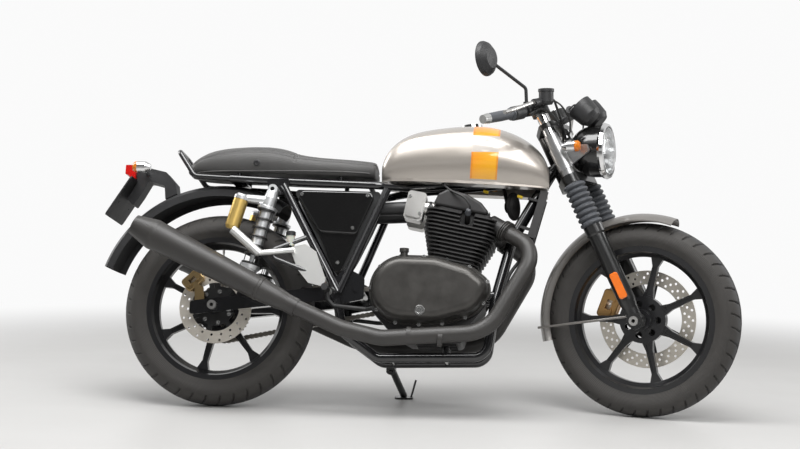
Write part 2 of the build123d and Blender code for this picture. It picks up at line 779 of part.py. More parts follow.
def rear_indicator():
    x, z = from_rear(-266, 462)
    stalk = rod((x, 31.4, z - 8), (x, 92, z), 6)
    shell = turned([(0, 0), (10, 0), (19, 16), (19, 44), (0, 44)], (x + 26, 104, z), (-1, 0, 0))
    lens = turned([(0, 44.3), (18, 44.3), (18, 52), (12, 60), (0, 61)], (x + 26, 104, z), (-1, 0, 0))
    return stalk + shell, lens


def grab_rail():
    return tube([
        (-668.3, 98, 746), (-790, 94, 753), (-856, 60, 846), (-856, -60, 846), (-790, -94, 753),
        (-668.3, -98, 746)], 9, 26)


def footrest_plate():
    body = side_slab(outline([
        (-450, 506), (-397, 518), (-362, 494), (-326, 400), (-342, 382), (-384, 392), (-418, 432)], 9), 154, 161)
    spacers = [rod((x, y, z), (x, 154, z), 8) for x, y, z in ((-352, 141, 440), (-346, 141, 398))]
    return body + spacers


def pegs():
    """Rider pegs and folded passenger pegs."""
    rider = rod((-318, 141.3, 366), (-322, 226, 372), 11)
    folded = rod((-540, 192, 478), (-632, 198, 556), 14)
    folded += tube([(-432, 170.3, 496), (-470, 171, 492), (-544, 192, 481)], 9, 20)
    return [rider, folded]


def brake_pedal():
    body = tube([(-320, 180, 366), (-314, 180, 334), (-296, 180, 316), (-190, 186, 306), (-166, 206, 308)], 7, 10)
    return body - rod((-318, 141.3, 366), (-322, 226, 372), 11 + seat_gap)


def oil_cooler():
    """Fin core between two end tanks, on arms from the down tubes."""
    place = Plane(origin=(351, 0, 643), x_dir=(0, 1, 0), z_dir=(0.964, 0, -0.265)).location
    rows = [Pos(0, y, 0) * Box(138, 3.4, 22) for y in range(-70, 80, 10)]
    tanks = [Pos(x, 0, 0) * Box(16, 160, 26) for x in (-77, 77)]
    back = Box(140, 150, 10)
    arms = [Pos(x, y, -24) * Box(14, 8, 46) for x in (-62, 62) for y in (-52, 46)]
    return place * (back + rows + tanks + arms)


def horn():
    """Disc horn facing ahead and to the right, hung from the spine."""
    centre = vec(262, -6, 682)
    body = turned([
        (0, -14), (20, -14), (24, 0), (44, 4), (47, 8), (47, 14), (40, 17), (14, 14), (0, 14)],
        centre, (0.9, -0.42, 0))
    return body + rod(centre + vec(-12, 5, 10), (236, 36, 766), 6)


def caliper(y, turn, reach, width, length):
    """Two-piston brake body in a wheel's frame: rounded block, piston caps and pad window."""
    block = Box(width, 46, length)
    block = fillet(block.edges().filter_by(Axis.Y), 12)
    block = fillet(block.faces().sort_by(Axis.Y)[-1].edges() + block.faces().sort_by(Axis.Y)[0].edges(), 4)
    for z in (-length * 0.22, length * 0.22):
        block += rod((0, -27, z), (0, 27, z), width * 0.27)
    block -= Box(width * 0.3, 70, length * 0.34)
    return Rot(0, -turn, 0) * Pos(reach, y, 0) * block


def rear_caliper():
    y = rear_disc_y - 9.5
    body = rear_place * caliper(-y, 132, rear_disc_radius - 6, 48, 70)
    slot = rear_place * rod((0, -y - disc_thickness / 2 - pad_gap, 0),
                            (0, -y + disc_thickness / 2 + pad_gap, 0), rear_disc_radius + 4)
    bracket = side_slab(outline([
        from_rear(-64, -2), from_rear(-30, -2), from_rear(-40, 62), from_rear(-70, 80)], 5),
        -(arm_y - arm_width / 2 - seat_gap), -90)
    return body - slot + bracket


# Fork pieces
def yokes():
    """Lower and upper clamps on one stem."""
    def clamp(low, height, hub, eye):
        edges = (Circle(hub)).edges()
        for side in (-1, 1):
            edges += (Pos(fork_offset, side * leg_spread) * Circle(eye)).edges()
        return extrude(Pos(0, 0, low) * make_hull(edges), amount=height)

    body = clamp(low_yoke, low_yoke_height, 30, 29)
    body += clamp(top_yoke, top_yoke_height, 28, 27)
    body += rod((0, 0, low_yoke), (0, 0, top_yoke + top_yoke_height + 12), stem_radius)
    body += rod((0, 0, top_yoke), (0, 0, top_yoke + top_yoke_height + 9), 21)
    for side in (-1, 1):
        body -= rod((fork_offset, side * leg_spread, 300), (fork_offset, side * leg_spread, 800),
                    stanchion_radius)
    lamp = Plane(origin=lamp_centre, z_dir=lamp_axis).location
    return body - lamp * Pos(0, 0, -95) * Cylinder(lamp_radius - 12, 70)


def stanchion():
    body = rod((fork_offset, leg_spread, 40), (fork_offset, leg_spread, stanchion_top), stanchion_radius)
    return body + rod((fork_offset, leg_spread, stanchion_top), (fork_offset, leg_spread, stanchion_top + 8), 15)


def slider():
    """Lower leg with its axle lug and collar."""
    place = vec(fork_offset, leg_spread, 0)
    body = turned([
        (0, -26), (18, -26), (24, -12), (24, 40), (slider_radius, 70), (slider_radius, slider_top - 34),
        (slider_radius + 4, slider_top - 28), (slider_radius + 4, slider_top), (0, slider_top)],
        place, (0, 0, 1))
    body += rod((fork_offset, leg_spread - 27, 0), (fork_offset, leg_spread + 27, 0), 25)
    body -= rod((fork_offset, leg_spread, 35), (fork_offset, leg_spread, 400), stanchion_radius + seat_gap)
    return body - rod((fork_offset, 0, 0), (fork_offset, 200, 0), axle_radius)


def boot():
    """Bellows between slider and lower clamp."""
    low = slider_top + seat_gap
    step = (boot_top - low) / boot_folds
    points = [(stanchion_radius + seat_gap, low)]
    for k in range(boot_folds):
        points.append((boot_radius - 8, low + k * step))
        points.append((boot_radius, low + (k + 0.35) * step))
        points.append((boot_radius, low + (k + 0.65) * step))
    points.append((boot_radius - 8, boot_top))
    points.append((stanchion_radius + seat_gap, boot_top))
    return turned(points, vec(fork_offset, leg_spread, 0), (0, 0, 1))


def fork_cover():
    """Upper fork shroud with the headlamp ear cast on."""
    low = low_yoke + low_yoke_height + seat_gap
    high = top_yoke - 24
    body = rod((fork_offset, leg_spread, low), (fork_offset, leg_spread, high), 24.5)
    body += rod((fork_offset, leg_spread, ear_z - 34), (fork_offset, leg_spread, ear_z + 44), 28)
    ear = side_slab(outline([
        (fork_offset, ear_z + 42), (fork_offset + 24, ear_z + 40), (ear_x + 15, ear_z + 12),
        (ear_x + 15, ear_z - 12), (fork_offset + 24, ear_z - 26), (fork_offset, ear_z - 30)], 7),
        leg_spread - 9, leg_spread + 3)
    body += ear
    body += rod((ear_x, leg_spread - 12, ear_z), (ear_x, leg_spread + 8, ear_z), 13)
    return body - rod((fork_offset, leg_spread, 0), (fork_offset, leg_spread, 900), stanchion_radius + 2)


ear_back = 45.0
ear_x = lamp_forward - ear_back * cos_rake
ear_z = lamp_height + ear_back * sin_rake
lamp_axis = (cos_rake, 0, -sin_rake)
lamp_centre = (lamp_forward, 0, lamp_height)


def headlamp():
    """Bucket, rim and lens, turned about the beam axis."""
    bucket = revolve(Plane.XZ * make_face([
        Line((0, -lamp_depth), (0, -8)), Line((0, -8), (lamp_radius - 7, -8)),
        Line((lamp_radius - 7, -8), (lamp_radius - 8, -40)),
        ThreePointArc((lamp_radius - 8, -40), (lamp_radius * 0.62, -95), (12, -lamp_depth)),
        Line((12, -lamp_depth), (0, -lamp_depth))]), Axis.Z)
    rim = revolve(Plane.XZ * outline([
        (lamp_radius - 12, -7.7), (lamp_radius - 3, -7.7), (lamp_radius, 0), (lamp_radius - 4, 10),
        (lamp_radius - 12, 12)]), Axis.Z)
    lens = revolve(Plane.XZ * make_face([
        Line((0, -7.7), (lamp_radius - 12.3, -7.7)), Line((lamp_radius - 12.3, -7.7), (lamp_radius - 12.3, 8)),
        ThreePointArc((lamp_radius - 12.3, 8), ((lamp_radius - 12) * 0.6, 17), (6, 21)),
        Line((6, 21), (0, 21)), Line((0, 21), (0, -7.7))]), Axis.Z)
    place = Plane(origin=lamp_centre, z_dir=lamp_axis).location
    return place * bucket, place * rim, place * lens


def front_indicator():
    start = (ear_x - 26, leg_spread + 3.3, ear_z + 20)
    centre = (ear_x - 26, leg_spread + 44, ear_z + 20)
    stalk = rod(start, centre, 6)
    way = lamp_axis
    shell = turned([(0, -30), (10, -30), (19, -12), (19, 14), (0, 14)], centre, way)
    lens = turned([(0, 14.3), (18, 14.3), (18, 22), (12, 30), (0, 31)], centre, way)
    return stalk + shell, lens


clock_angle = math.radians(clock_tilt - rake)
clock_axis = (-math.sin(clock_angle), 0, math.cos(clock_angle))


def clocks():
    """Two round pods on a bridge from the upper clamp."""
    pods = []
    for side in (-1, 1):
        centre = (clock_forward, side * clock_spread, clock_height)
        pods.append(turned([
            (0, -clock_depth), (clock_radius - 14, -clock_depth), (clock_radius - 4, -clock_depth + 14),
            (clock_radius, -14), (clock_radius, 4), (clock_radius - 6, 4), (clock_radius - 6, -3), (0, -3)],
            centre, clock_axis))
    bridge_z = top_yoke + top_yoke_height + seat_gap + 3
    bridge = Pos((26 + clock_forward) / 2, 0, bridge_z) * Box(clock_forward - 26, 66, 6)
    return pods[0] + pods[1] + bridge


bar_turn = math.radians(bar_sweep)
bar_dip = math.radians(bar_drop)
bar_way = vec(-math.sin(bar_turn) * math.cos(bar_dip), math.cos(bar_turn) * math.cos(bar_dip), -math.sin(bar_dip))
bar_start = vec(fork_offset + 8, leg_spread + 16, bar_height)


def along_bar(distance):
    return bar_start + bar_way * distance


def handlebar():
    """Clip-on clamp, bar and end weight."""
    clamp = rod((fork_offset, leg_spread, bar_height - 19), (fork_offset, leg_spread, bar_height + 17), 31)
    clamp -= rod((fork_offset, leg_spread, 600), (fork_offset, leg_spread, 900), stanchion_radius)
    bar = rod(bar_start, along_bar(bar_length), bar_radius)
    weight = rod(along_bar(bar_length - bar_end_length), along_bar(bar_length), 17, 14)
    bar -= rod((fork_offset, leg_spread, 600), (fork_offset, leg_spread, 900), stanchion_radius)
    return clamp + bar + weight


def grip():
    low = bar_length - bar_end_length - seat_gap - grip_length
    start = along_bar(low)
    points = [(bar_radius, 0), (grip_radius + 4, 0), (grip_radius + 4, 5), (grip_radius - 1, 9)]
    points += [(grip_radius, grip_length * 0.5), (grip_radius - 1, grip_length), (bar_radius, grip_length)]
    return turned(points, start, bar_way)


switch_length = 56.0
perch_from = 24.0


upward = vec(sin_rake, 0, cos_rake)


def switchgear():
    """Switch housing beside the grip."""
    start = along_bar(bar_length - bar_end_length - grip_length - 1 - switch_length)
    return turned([
        (bar_radius, 0), (20, 0), (23, 6), (23, switch_length - 4), (19, switch_length),
        (bar_radius, switch_length)], start, bar_way)


def perch():
    """Lever clamp, master cylinder and mirror boss."""
    start = along_bar(perch_from)
    clamp = turned([(bar_radius, 0), (19, 0), (19, 56), (bar_radius, 56)], start, bar_way)
    arm = rod(start + bar_way * 15 + vec(16, 0, 3), start + bar_way * 15 + vec(40, 0, 9), 11)
    barrel = rod(start + bar_way * -4 + vec(42, 0, 10), start + bar_way * 64 + vec(42, 0, 10), 13)
    boss = rod(mirror_base() - upward * 30, mirror_base(), 10)
    boss -= rod(bar_start, along_bar(bar_length), bar_radius)
    return clamp + arm + barrel + boss


def mirror_base():
    """Top of the mirror boss on the left perch."""
    return along_bar(perch_from + 46) + vec(10, 0, 28)


def lever():
    """Hand lever ahead of the grip."""
    start = along_bar(perch_from + 66) + vec(44, 0, 10)
    return tube([
        start, start + bar_way * 34 + vec(12, 0, -4), along_bar(bar_length - 70) + vec(50, 0, -4),
        along_bar(bar_length - 26) + vec(58, 0, -8)], 6.5, 18)


def reservoir():
    start = along_bar(perch_from + 12) + vec(46, 0, -4)
    return turned([(0, 0), (20, 0), (24, 8), (24, 40), (26, 41), (26, 50), (0, 50)], start, upward)


def front_axle_piece():
    return front_place * axle(front_axle_half, front_hub_half + seat_gap, leg_spread - 27, 16)


def front_guard():
    body = front_place * mudguard(345, 60, 22, 4, 2.5, front_guard_first, front_guard_last)
    braces = []
    for side in (-1, 1):
        brace = Pos(fork_offset, side * 66, 319) * Box(44, 20, 16)
        braces.append(brace - rod((fork_offset, side * leg_spread, 200), (fork_offset, side * leg_spread, 400),
                                  slider_radius + 4))
        tip = math.radians(guard_stay)
        stay_end = (fork_offset + 340 * math.cos(tip), side * 59, 340 * math.sin(tip))
        stay = rod((fork_offset - 16, side * leg_spread, 22), stay_end, 4)
        braces.append(stay - rod((fork_offset, side * leg_spread, -40), (fork_offset, side * leg_spread, 200),
                                 24 + seat_gap))
    return body + braces


front_guard_first = 46.0
front_guard_last = 168.0
guard_stay = 160.0
hose_radius = 4.0


def front_caliper():
    y = front_disc_y - 3.5
    body = front_place * caliper(y, 134, front_disc_radius - 28, 62, 96)
    slot = front_place * rod((0, y - disc_thickness / 2 - pad_gap, 0),
                             (0, y + disc_thickness / 2 + pad_gap, 0), front_disc_radius + 4)
    lug = side_slab(outline([
        (fork_offset - 16, 60), (fork_offset - 16, 130), (fork_offset - 70, 118), (fork_offset - 70, 80)], 6),
        70, 82)
    return body - slot + lug - slider()


def brake_hose():
    """Hose from the right master cylinder, between the yokes and down behind the left leg to the caliper."""
    start = along_bar(perch_from - 8) + vec(42, 0, 10)
    lead = start - bar_way * 38
    return tube([
        (start.X + 4 * bar_way.X, -start.Y - 4 * bar_way.Y, start.Z), (lead.X, -lead.Y, lead.Z),
        (86, -64, 712), (64, -20, 654), (56, 34, 638), (20, 56, 592), (-12, 66, 548), (-14, 80, 470),
        (-4, 88, 330), (-8, 76, 190), (-24, 68, 120)], hose_radius, 15)


def mirror_piece():
    """Round mirror on a cranked stalk, right side only."""
    boss = mirror_base() + upward * 0.3
    knee = boss + upward * 44 + vec(0, 4, 0)
    head = boss + vec(-34, 116, 160)
    stalk = tube([boss, knee, head + vec(8, -6, -10)], 5.5, 16)
    facing = (-0.92, -0.18, 0.34)
    shell = turned([(0, -30), (34, -24), (52, -10), (57, 0), (57, 5), (53, 5), (53, 0), (0, 0)], head, facing)
    glass = turned([(0, 0.3), (52.7, 0.3), (52.7, 3), (0, 3)], head, facing)
    return flip(stalk + shell), flip(glass)


# Parked place: the fork turned, the bike leaned until both tyres and the stand's foot meet the floor
steered = FORK * Rot(0, 0, -steer_right)
front_edge, front_crown = crown_arc(front_tyre_half, front_crown_drop)
rear_edge, rear_crown = crown_arc(rear_tyre_half, rear_crown_drop)


def lowest(place, centre, side, radius, crown):
    """Height of the lowest point of a tyre's crown."""
    origin = (place * Pos(*centre)).position
    tip = (place * Pos(*(centre + side))).position
    way = tip - origin
    return origin.Z - crown - (radius - crown) * math.sqrt(1 - way.Z ** 2)


def parked():
    turn = math.radians(steer_right)
    wheel_way = vec(math.sin(turn) * cos_rake, math.cos(turn), math.sin(turn) * sin_rake)
    wheel_centre = (steered * Pos(fork_offset, 0, 0)).position
    pitch = 0.0
    for _ in range(12):
        place = Rot(0, pitch, 0) * Rot(-lean, 0, 0)
        back = lowest(place, rear_axle, vec(0, 1, 0), rear_tyre_radius, rear_crown)
        front = lowest(place, wheel_centre, wheel_way, front_tyre_radius, front_crown)
        pitch += math.degrees(math.atan2(front - back, wheelbase))
    return Pos(0, 0, -back) * place


upright_to_floor = parked()


def floor_point(x, y, z=0.0):
    """Point of the parked floor in the upright bike's frame."""
    return (upright_to_floor.inverse() * Pos(x, y, z)).position


stand_pivot = vec(stand_pivot_x, stand_pivot_y, stand_pivot_z)
stand_foot = floor_point(stand_foot_x, stand_reach)
stand_way = (stand_foot - stand_pivot).normalized()
fold_way = vec(-1, 0.06, 0.03).normalized()
stand_axis = stand_way.cross(fold_way).normalized()


def side_stand():
    """Leg, eye and foot plate that lies flat on the floor."""
    up = floor_point(stand_foot_x, stand_reach, 1.0) - stand_foot
    sole = Plane(origin=stand_foot, x_dir=(1, 0, 0), z_dir=up)
    foot = sole.location * extrude(RectangleRounded(64, 46, 14), amount=6)
    leg = rod(stand_pivot + stand_way * 16, stand_foot + up * 9, stand_radius)
    tang = rod(stand_foot + vec(24, 0, 0) + up * 3, stand_foot + vec(40, 10, 0) + up * 66, 3.5)
    leg = leg + foot + tang
    below = sole.location * Pos(0, 0, -50) * Box(200, 200, 100)
    eye = rod(stand_pivot - stand_axis * 9, stand_pivot + stand_axis * 9, 17)
    body = leg + eye - below
    return body - rod(stand_pivot - stand_axis * 40, stand_pivot + stand_axis * 40, 7 + running_gap)


def stand_bracket():
    """Two cheeks and a web on the left lower rail, with the stand's pivot bolt."""
    place = Plane(origin=stand_pivot, z_dir=stand_axis)
    rail = place.to_local_coords(vec(stand_pivot_x, 104, 160))
    reach = math.hypot(rail.X, rail.Y)
    aim = Pos(rail.X, rail.Y)
    cheek = make_hull(Circle(16).edges() + (aim * Circle(12)).edges())
    body = Pos(0, 0, 12.5) * extrude(cheek, amount=5) + Pos(0, 0, -17.5) * extrude(cheek, amount=5)
    body += Pos(rail.X * 30 / reach, rail.Y * 30 / reach, 0) * Cylinder(7, 34)
    body += Cylinder(7, 42)
    return place.location * body


# Build the pieces, in the upright frame for the chassis and in the fork frame for the fork
shock_body, shock_spring, shock_can = shocks()
lamp_bucket, lamp_rim, lamp_lens = headlamp()
front_shell, front_lens = front_indicator()
rear_shell, rear_lens = rear_indicator()
clock_pods = clocks()
mirror_shell, mirror_glass = mirror_piece()
spine = frame_spine()
cases = engine_cases()
cradle = frame_cradle() + stand_bracket() - cases
rear = frame_rear()
header = exhaust_header()
muffler = silencer()
rocker = rocker_cover()
block = cylinder_block() - rocker
intake = intake_body() - block
tank = fuel_tank()
holder = plate_holder()
cover = engine_cover()
foot_pieces = [footrest_plate(), *pegs(), brake_pedal()]
right_perch = flip(perch() + reservoir())
pincher = front_caliper()
left_perch_hole = mirror_base()
left_thread = rod(left_perch_hole + upward, left_perch_hole - upward * mirror_thread_depth, mirror_thread / 2)
left_perch = perch() - left_thread

chassis_pieces = {
    "frame_spine": spine,
    "frame_cradle": cradle,
    "frame_rear": rear,
    "engine_cases": cases,
    "cylinder_block": block,
    "rocker_cover": rocker,
    "engine_covers": [cover - cases - block, flip(cover + sight_and_filler() - flip(cases) - block)],
    "intake_bodies": pair(intake),
    "airbox": airbox() - pair(intake),
    "side_covers": pair(side_cover()),
    "fuel_tank": tank,
    "fuel_cap": fuel_cap() - tank,
    "seat": body_loft(seat_stations) + body_loft(hump_stations),
    "exhaust_headers": pair(header),
    "silencers": pair(muffler - header),
    "rear_mudguard": rear_guard,
    "plate_holder": holder,
    "tail_lens": tail_lens() - holder,
    "rear_indicators": pair(rear_shell),
    "rear_indicator_lenses": pair(rear_lens),
    "grab_rail": grab_rail(),
    "swingarm": swingarm(),
    "rear_axle": rear_place * axle(rear_axle_half, rear_hub_half + 16, arm_y - arm_width / 2, 16),
    "chain": chain_loop(),
    "shock_bodies": pair(shock_body),
    "shock_springs": pair(shock_spring),
    "shock_reservoirs": pair(shock_can),
    "foot_controls": [item for piece in foot_pieces for item in pair(piece - rear)],
    "oil_cooler": oil_cooler() - cradle,
    "horn": horn() - spine,
    "rear_caliper": rear_caliper(),
}
fork_pieces = {
    "fork_yokes": yokes(),
    "fork_tubes": pair(stanchion()),
    "fork_covers": pair(fork_cover() - lamp_bucket),
    "fork_boots": pair(boot()),
    "fork_legs": pair(slider()),
    "front_axle": front_axle_piece(),
    "front_mudguard": front_guard(),
    "front_caliper": pincher,
    "brake_hose": brake_hose() - right_perch - pincher,
    "headlamp_shell": lamp_bucket,
    "headlamp_rim": lamp_rim,
    "headlamp_lens": lamp_lens,
    "front_indicators": pair(front_shell),
    "front_indicator_lenses": pair(front_lens),
    "clocks": clock_pods,
    "handlebars": pair(handlebar()),
    "grips": pair(grip()),
    "bar_controls": pair(switchgear()) + [left_perch, right_perch],
    "hand_levers": pair(lever() - perch()),
    "mirror": mirror_shell,
    "mirror_glass": mirror_glass,
}
front_wheel_pieces = {"front_tyre": front_tyre, "front_wheel": front_rim, "front_disc": front_disc}
rear_wheel_pieces = {
    "rear_tyre": rear_tyre, "rear_wheel": rear_rim, "rear_disc": rear_disc, "rear_sprocket": rear_sprocket,
}
stand_pieces = {"side_stand": side_stand()}

groups = (
    ("chassis", chassis_pieces, upright_to_floor),
    ("steering", fork_pieces, upright_to_floor * steered),
    ("front_wheel", front_wheel_pieces, upright_to_floor * steered),
    ("rear_wheel", rear_wheel_pieces, upright_to_floor),
    ("side_stand", stand_pieces, upright_to_floor),
)

# Place each node and centre the parked bike over the origin
placed = {}
for body_name, pieces, place in groups:
    for node, piece in pieces.items():
        placed[node] = place * solids(piece)
boxes = [shape.bounding_box() for shape in placed.values()]
centre_x = (min(b.min.X for b in boxes) + max(b.max.X for b in boxes)) / 2
centre_y = (min(b.min.Y for b in boxes) + max(b.max.Y for b in boxes)) / 2
to_origin = Pos(-centre_x, -centre_y, 0)

os.makedirs("parts", exist_ok=True)
for node, shape in placed.items():
    export_step(to_origin * shape, os.path.join("parts", node + ".step"))
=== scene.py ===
import json
from math import acos, atan2, cos, exp, hypot, pi, radians, sin, sqrt, tau

import bmesh
import bpy
from mathutils import Matrix, Vector, geometry, noise
from mathutils.bvhtree import BVHTree


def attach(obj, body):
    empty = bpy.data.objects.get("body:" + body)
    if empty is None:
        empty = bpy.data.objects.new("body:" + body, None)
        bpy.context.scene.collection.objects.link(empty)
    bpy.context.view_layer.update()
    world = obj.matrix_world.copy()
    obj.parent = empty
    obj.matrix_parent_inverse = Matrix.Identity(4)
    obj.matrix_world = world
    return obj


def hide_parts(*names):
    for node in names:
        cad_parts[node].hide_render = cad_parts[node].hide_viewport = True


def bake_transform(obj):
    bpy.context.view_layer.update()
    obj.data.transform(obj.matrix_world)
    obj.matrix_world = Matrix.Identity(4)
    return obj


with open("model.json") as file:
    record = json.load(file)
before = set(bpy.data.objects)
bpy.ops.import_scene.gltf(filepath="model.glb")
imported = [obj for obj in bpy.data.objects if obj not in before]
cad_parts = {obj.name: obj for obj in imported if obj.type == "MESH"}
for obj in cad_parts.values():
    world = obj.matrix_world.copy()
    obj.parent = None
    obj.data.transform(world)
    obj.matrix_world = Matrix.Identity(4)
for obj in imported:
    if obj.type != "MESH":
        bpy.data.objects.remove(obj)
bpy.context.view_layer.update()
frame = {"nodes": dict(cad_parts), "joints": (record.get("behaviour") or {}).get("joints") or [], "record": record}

scene = bpy.context.scene
nodes = frame["nodes"]
joints = {joint["name"]: joint for joint in frame["joints"]}

# Frames of the bike: X forward, Y to the rider's left, Z up, in metres
rake = radians(24.5)
fork_offset = 0.0410375
rear_axle = Vector((-0.700, 0.0, 0.318))
up = Vector((0.0, 0.0, 1.0))
both_sides = (("right", -1), ("left", 1))


def way_of(joint):
    return Vector(joints[joint]["axis"]).normalized()


def spot_of(joint):
    return Vector(joints[joint]["pos_m"])


def axes(x, y, z, origin):
    """Matrix whose columns are three directions and a place."""
    return Matrix.Translation(origin) @ Matrix((x, y, z)).transposed().to_4x4()


def ray(angle):
    return Vector((cos(angle), sin(angle)))


steer_up = way_of("steering")
left = way_of("rear_wheel_spin")
lead = left.cross(steer_up)
ahead = lead * cos(rake) - steer_up * sin(rake)
upright = lead * sin(rake) + steer_up * cos(rake)
rear_hub = axes(ahead, left, upright, spot_of("rear_wheel_spin"))
bike = rear_hub @ Matrix.Translation(-rear_axle)
fork_left = way_of("front_wheel_spin")
front_hub = axes(fork_left.cross(steer_up), fork_left, steer_up, spot_of("front_wheel_spin"))
fork = front_hub @ Matrix.Translation((-fork_offset, 0.0, 0.0))


class Knot:
    """One socket of a tree. Sums and products of knots add Math nodes."""

    def __init__(self, graph, socket):
        self.graph = graph
        self.socket = socket

    def maths(self, operation, *values):
        return self.graph.add("ShaderNodeMath", {"operation": operation}, dict(enumerate(values)))

    def __add__(self, other):
        return self.maths("ADD", self, other)

    def __sub__(self, other):
        return self.maths("SUBTRACT", self, other)

    def __rsub__(self, other):
        return self.maths("SUBTRACT", other, self)

    def __mul__(self, other):
        return self.maths("MULTIPLY", self, other)

    def __abs__(self):
        return self.maths("ABSOLUTE", self)

    __radd__ = __add__
    __rmul__ = __mul__

    def wave(self):
        return self.maths("SINE", self)

    def repeat(self, length):
        """Saw tooth from 0 to length."""
        return self.maths("FLOORED_MODULO", self, length)

    def steps(self, low, high):
        """0 below low, 1 above high, smooth between."""
        settings = {"interpolation_type": "SMOOTHSTEP"}
        inputs = {"Value": self, "From Min": low, "From Max": high}
        return self.graph.add("ShaderNodeMapRange", settings, inputs)

    def band(self, low, high, blur):
        """1 between low and high, with a soft edge after each."""
        return self.steps(low, low + blur) - self.steps(high, high + blur)


class Graph:
    """A node tree that is written as calls."""

    def __init__(self, tree):
        self.tree = tree

    def add(self, kind, settings=None, inputs=None, output=0):
        """One node: its settings first, then the values or links of its sockets."""
        node = self.tree.nodes.new(kind)
        for name, value in (settings or {}).items():
            setattr(node, name, value)
        for name, value in (inputs or {}).items():
            self.put(node.inputs[name], value)
        return Knot(self, node.outputs[output])

    def put(self, socket, value):
        if isinstance(value, Knot):
            self.tree.links.new(value.socket, socket)
        else:
            socket.default_value = value

    def outlets(self, kind, inputs=None):
        """All the outputs of one node by name."""
        node = self.add(kind, None, inputs).socket.node
        return {socket.name: Knot(self, socket) for socket in node.outputs}

    def split(self, vector):
        """X, Y and Z of a vector."""
        return self.outlets("ShaderNodeSeparateXYZ", {0: vector}).values()

    def mix(self, share, low, high):
        """Colour between two, by a share."""
        low, high = [(*c, 1.0) if isinstance(c, tuple) else c for c in (low, high)]
        return self.add("ShaderNodeMix", {"data_type": "RGBA"}, {0: share, 6: low, 7: high}, output=2)


class Finish(Graph):
    """A surface finish: one Principled shader and the nodes that feed it."""

    def __init__(self, name):
        self.material = bpy.data.materials.new(name)
        self.material.use_nodes = True
        super().__init__(self.material.node_tree)
        self.shader = self.tree.nodes["Principled BSDF"]
        self.spot = self.add("ShaderNodeTexCoord", output="Object")

    def set(self, **values):
        for name, value in values.items():
            self.put(self.shader.inputs[name.replace("_", " ")], value)

    def within(self, place):
        """Millimetre coordinates in a frame of the bike."""
        inputs = {
            "Vector": self.spot, "Location": place.to_translation(),
            "Rotation": place.to_euler(), "Scale": (0.001, 0.001, 0.001),
        }
        return self.split(self.add("ShaderNodeMapping", {"vector_type": "TEXTURE"}, inputs))

    def noise(self, scale, detail=2.0, vector=None):
        inputs = {"Vector": vector or self.spot, "Scale": scale, "Detail": detail}
        return self.add("ShaderNodeTexNoise", None, inputs)

    def cells(self, scale, feature="F1"):
        inputs = {"Vector": self.spot, "Scale": scale}
        return self.add("ShaderNodeTexVoronoi", {"feature": feature}, inputs)

    def bump(self, height, depth):
        """Last touch of a finish: its fine relief."""
        self.set(Normal=self.add("ShaderNodeBump", None, {"Height": height, "Distance": depth}))
        return self.material

    def cloud(self, scale, low, high):
        """Slow change of a value between two ends."""
        return self.noise(scale, 3.0) * (high - low) + low


def grey(level):
    return (level, level, level)


def tint(colour, gain):
    return tuple(min(1.0, channel * gain) for channel in colour)


def painted(name, colour, roughness, coat=0.0, metal=0.0, grain=900.0, depth=0.00006):
    """Paint or powder coat: uneven gloss, a fine peel and dust in the low gloss."""
    finish = Finish(name)
    dust = finish.noise(9.0, 5.0)
    finish.set(
        Base_Color=finish.mix(dust, tint(colour, 0.75), tint(colour, 1.25)),
        Roughness=finish.cloud(14.0, roughness * 0.8, roughness * 1.2),
        Metallic=metal, Coat_Weight=coat, Coat_Roughness=0.06,
    )
    return finish.bump(finish.noise(grain), depth)


def metal(name, colour, roughness, stretch=(1.0, 1.0, 1.0), grain=700.0, depth=0.00003):
    """Bare or plated metal with tool marks along one direction and handling marks."""
    finish = Finish(name)
    long_way = finish.add("ShaderNodeMapping", None, {"Vector": finish.spot, "Scale": stretch})
    marks = finish.noise(grain, 3.0, long_way)
    smudge = finish.noise(11.0, 5.0)
    finish.set(
        Base_Color=finish.mix(smudge, tint(colour, 0.86), tint(colour, 1.08)),
        Roughness=(marks * 0.5 + smudge * 0.5) * (roughness * 0.9) + roughness * 0.55,
        Metallic=1.0,
    )
    return finish.bump(marks, depth)


def cast(name, colour, roughness, metallic=0.0, grain=420.0, depth=0.00022):
    """Sand cast or moulded skin with pits and a soft blotch."""
    finish = Finish(name)
    pits = finish.cells(grain)
    blotch = finish.noise(26.0, 4.0)
    finish.set(
        Base_Color=finish.mix(blotch, tint(colour, 0.7), tint(colour, 1.3)),
        Roughness=blotch * 0.16 + (roughness - 0.08),
        Metallic=metallic,
    )
    return finish.bump(pits * 0.6 + finish.noise(grain * 0.7) * 0.4, depth)


# Tank stripe in millimetres of the upright bike
stripe_lean = 0.055
stripe_foot = 761.0
stripe_ends = (127.4, 215.6)
inset_ends = (134.0, 209.4)
bare_band = (836.0, 895.0)
lip_slope = 0.0368
lip_height = 756.0


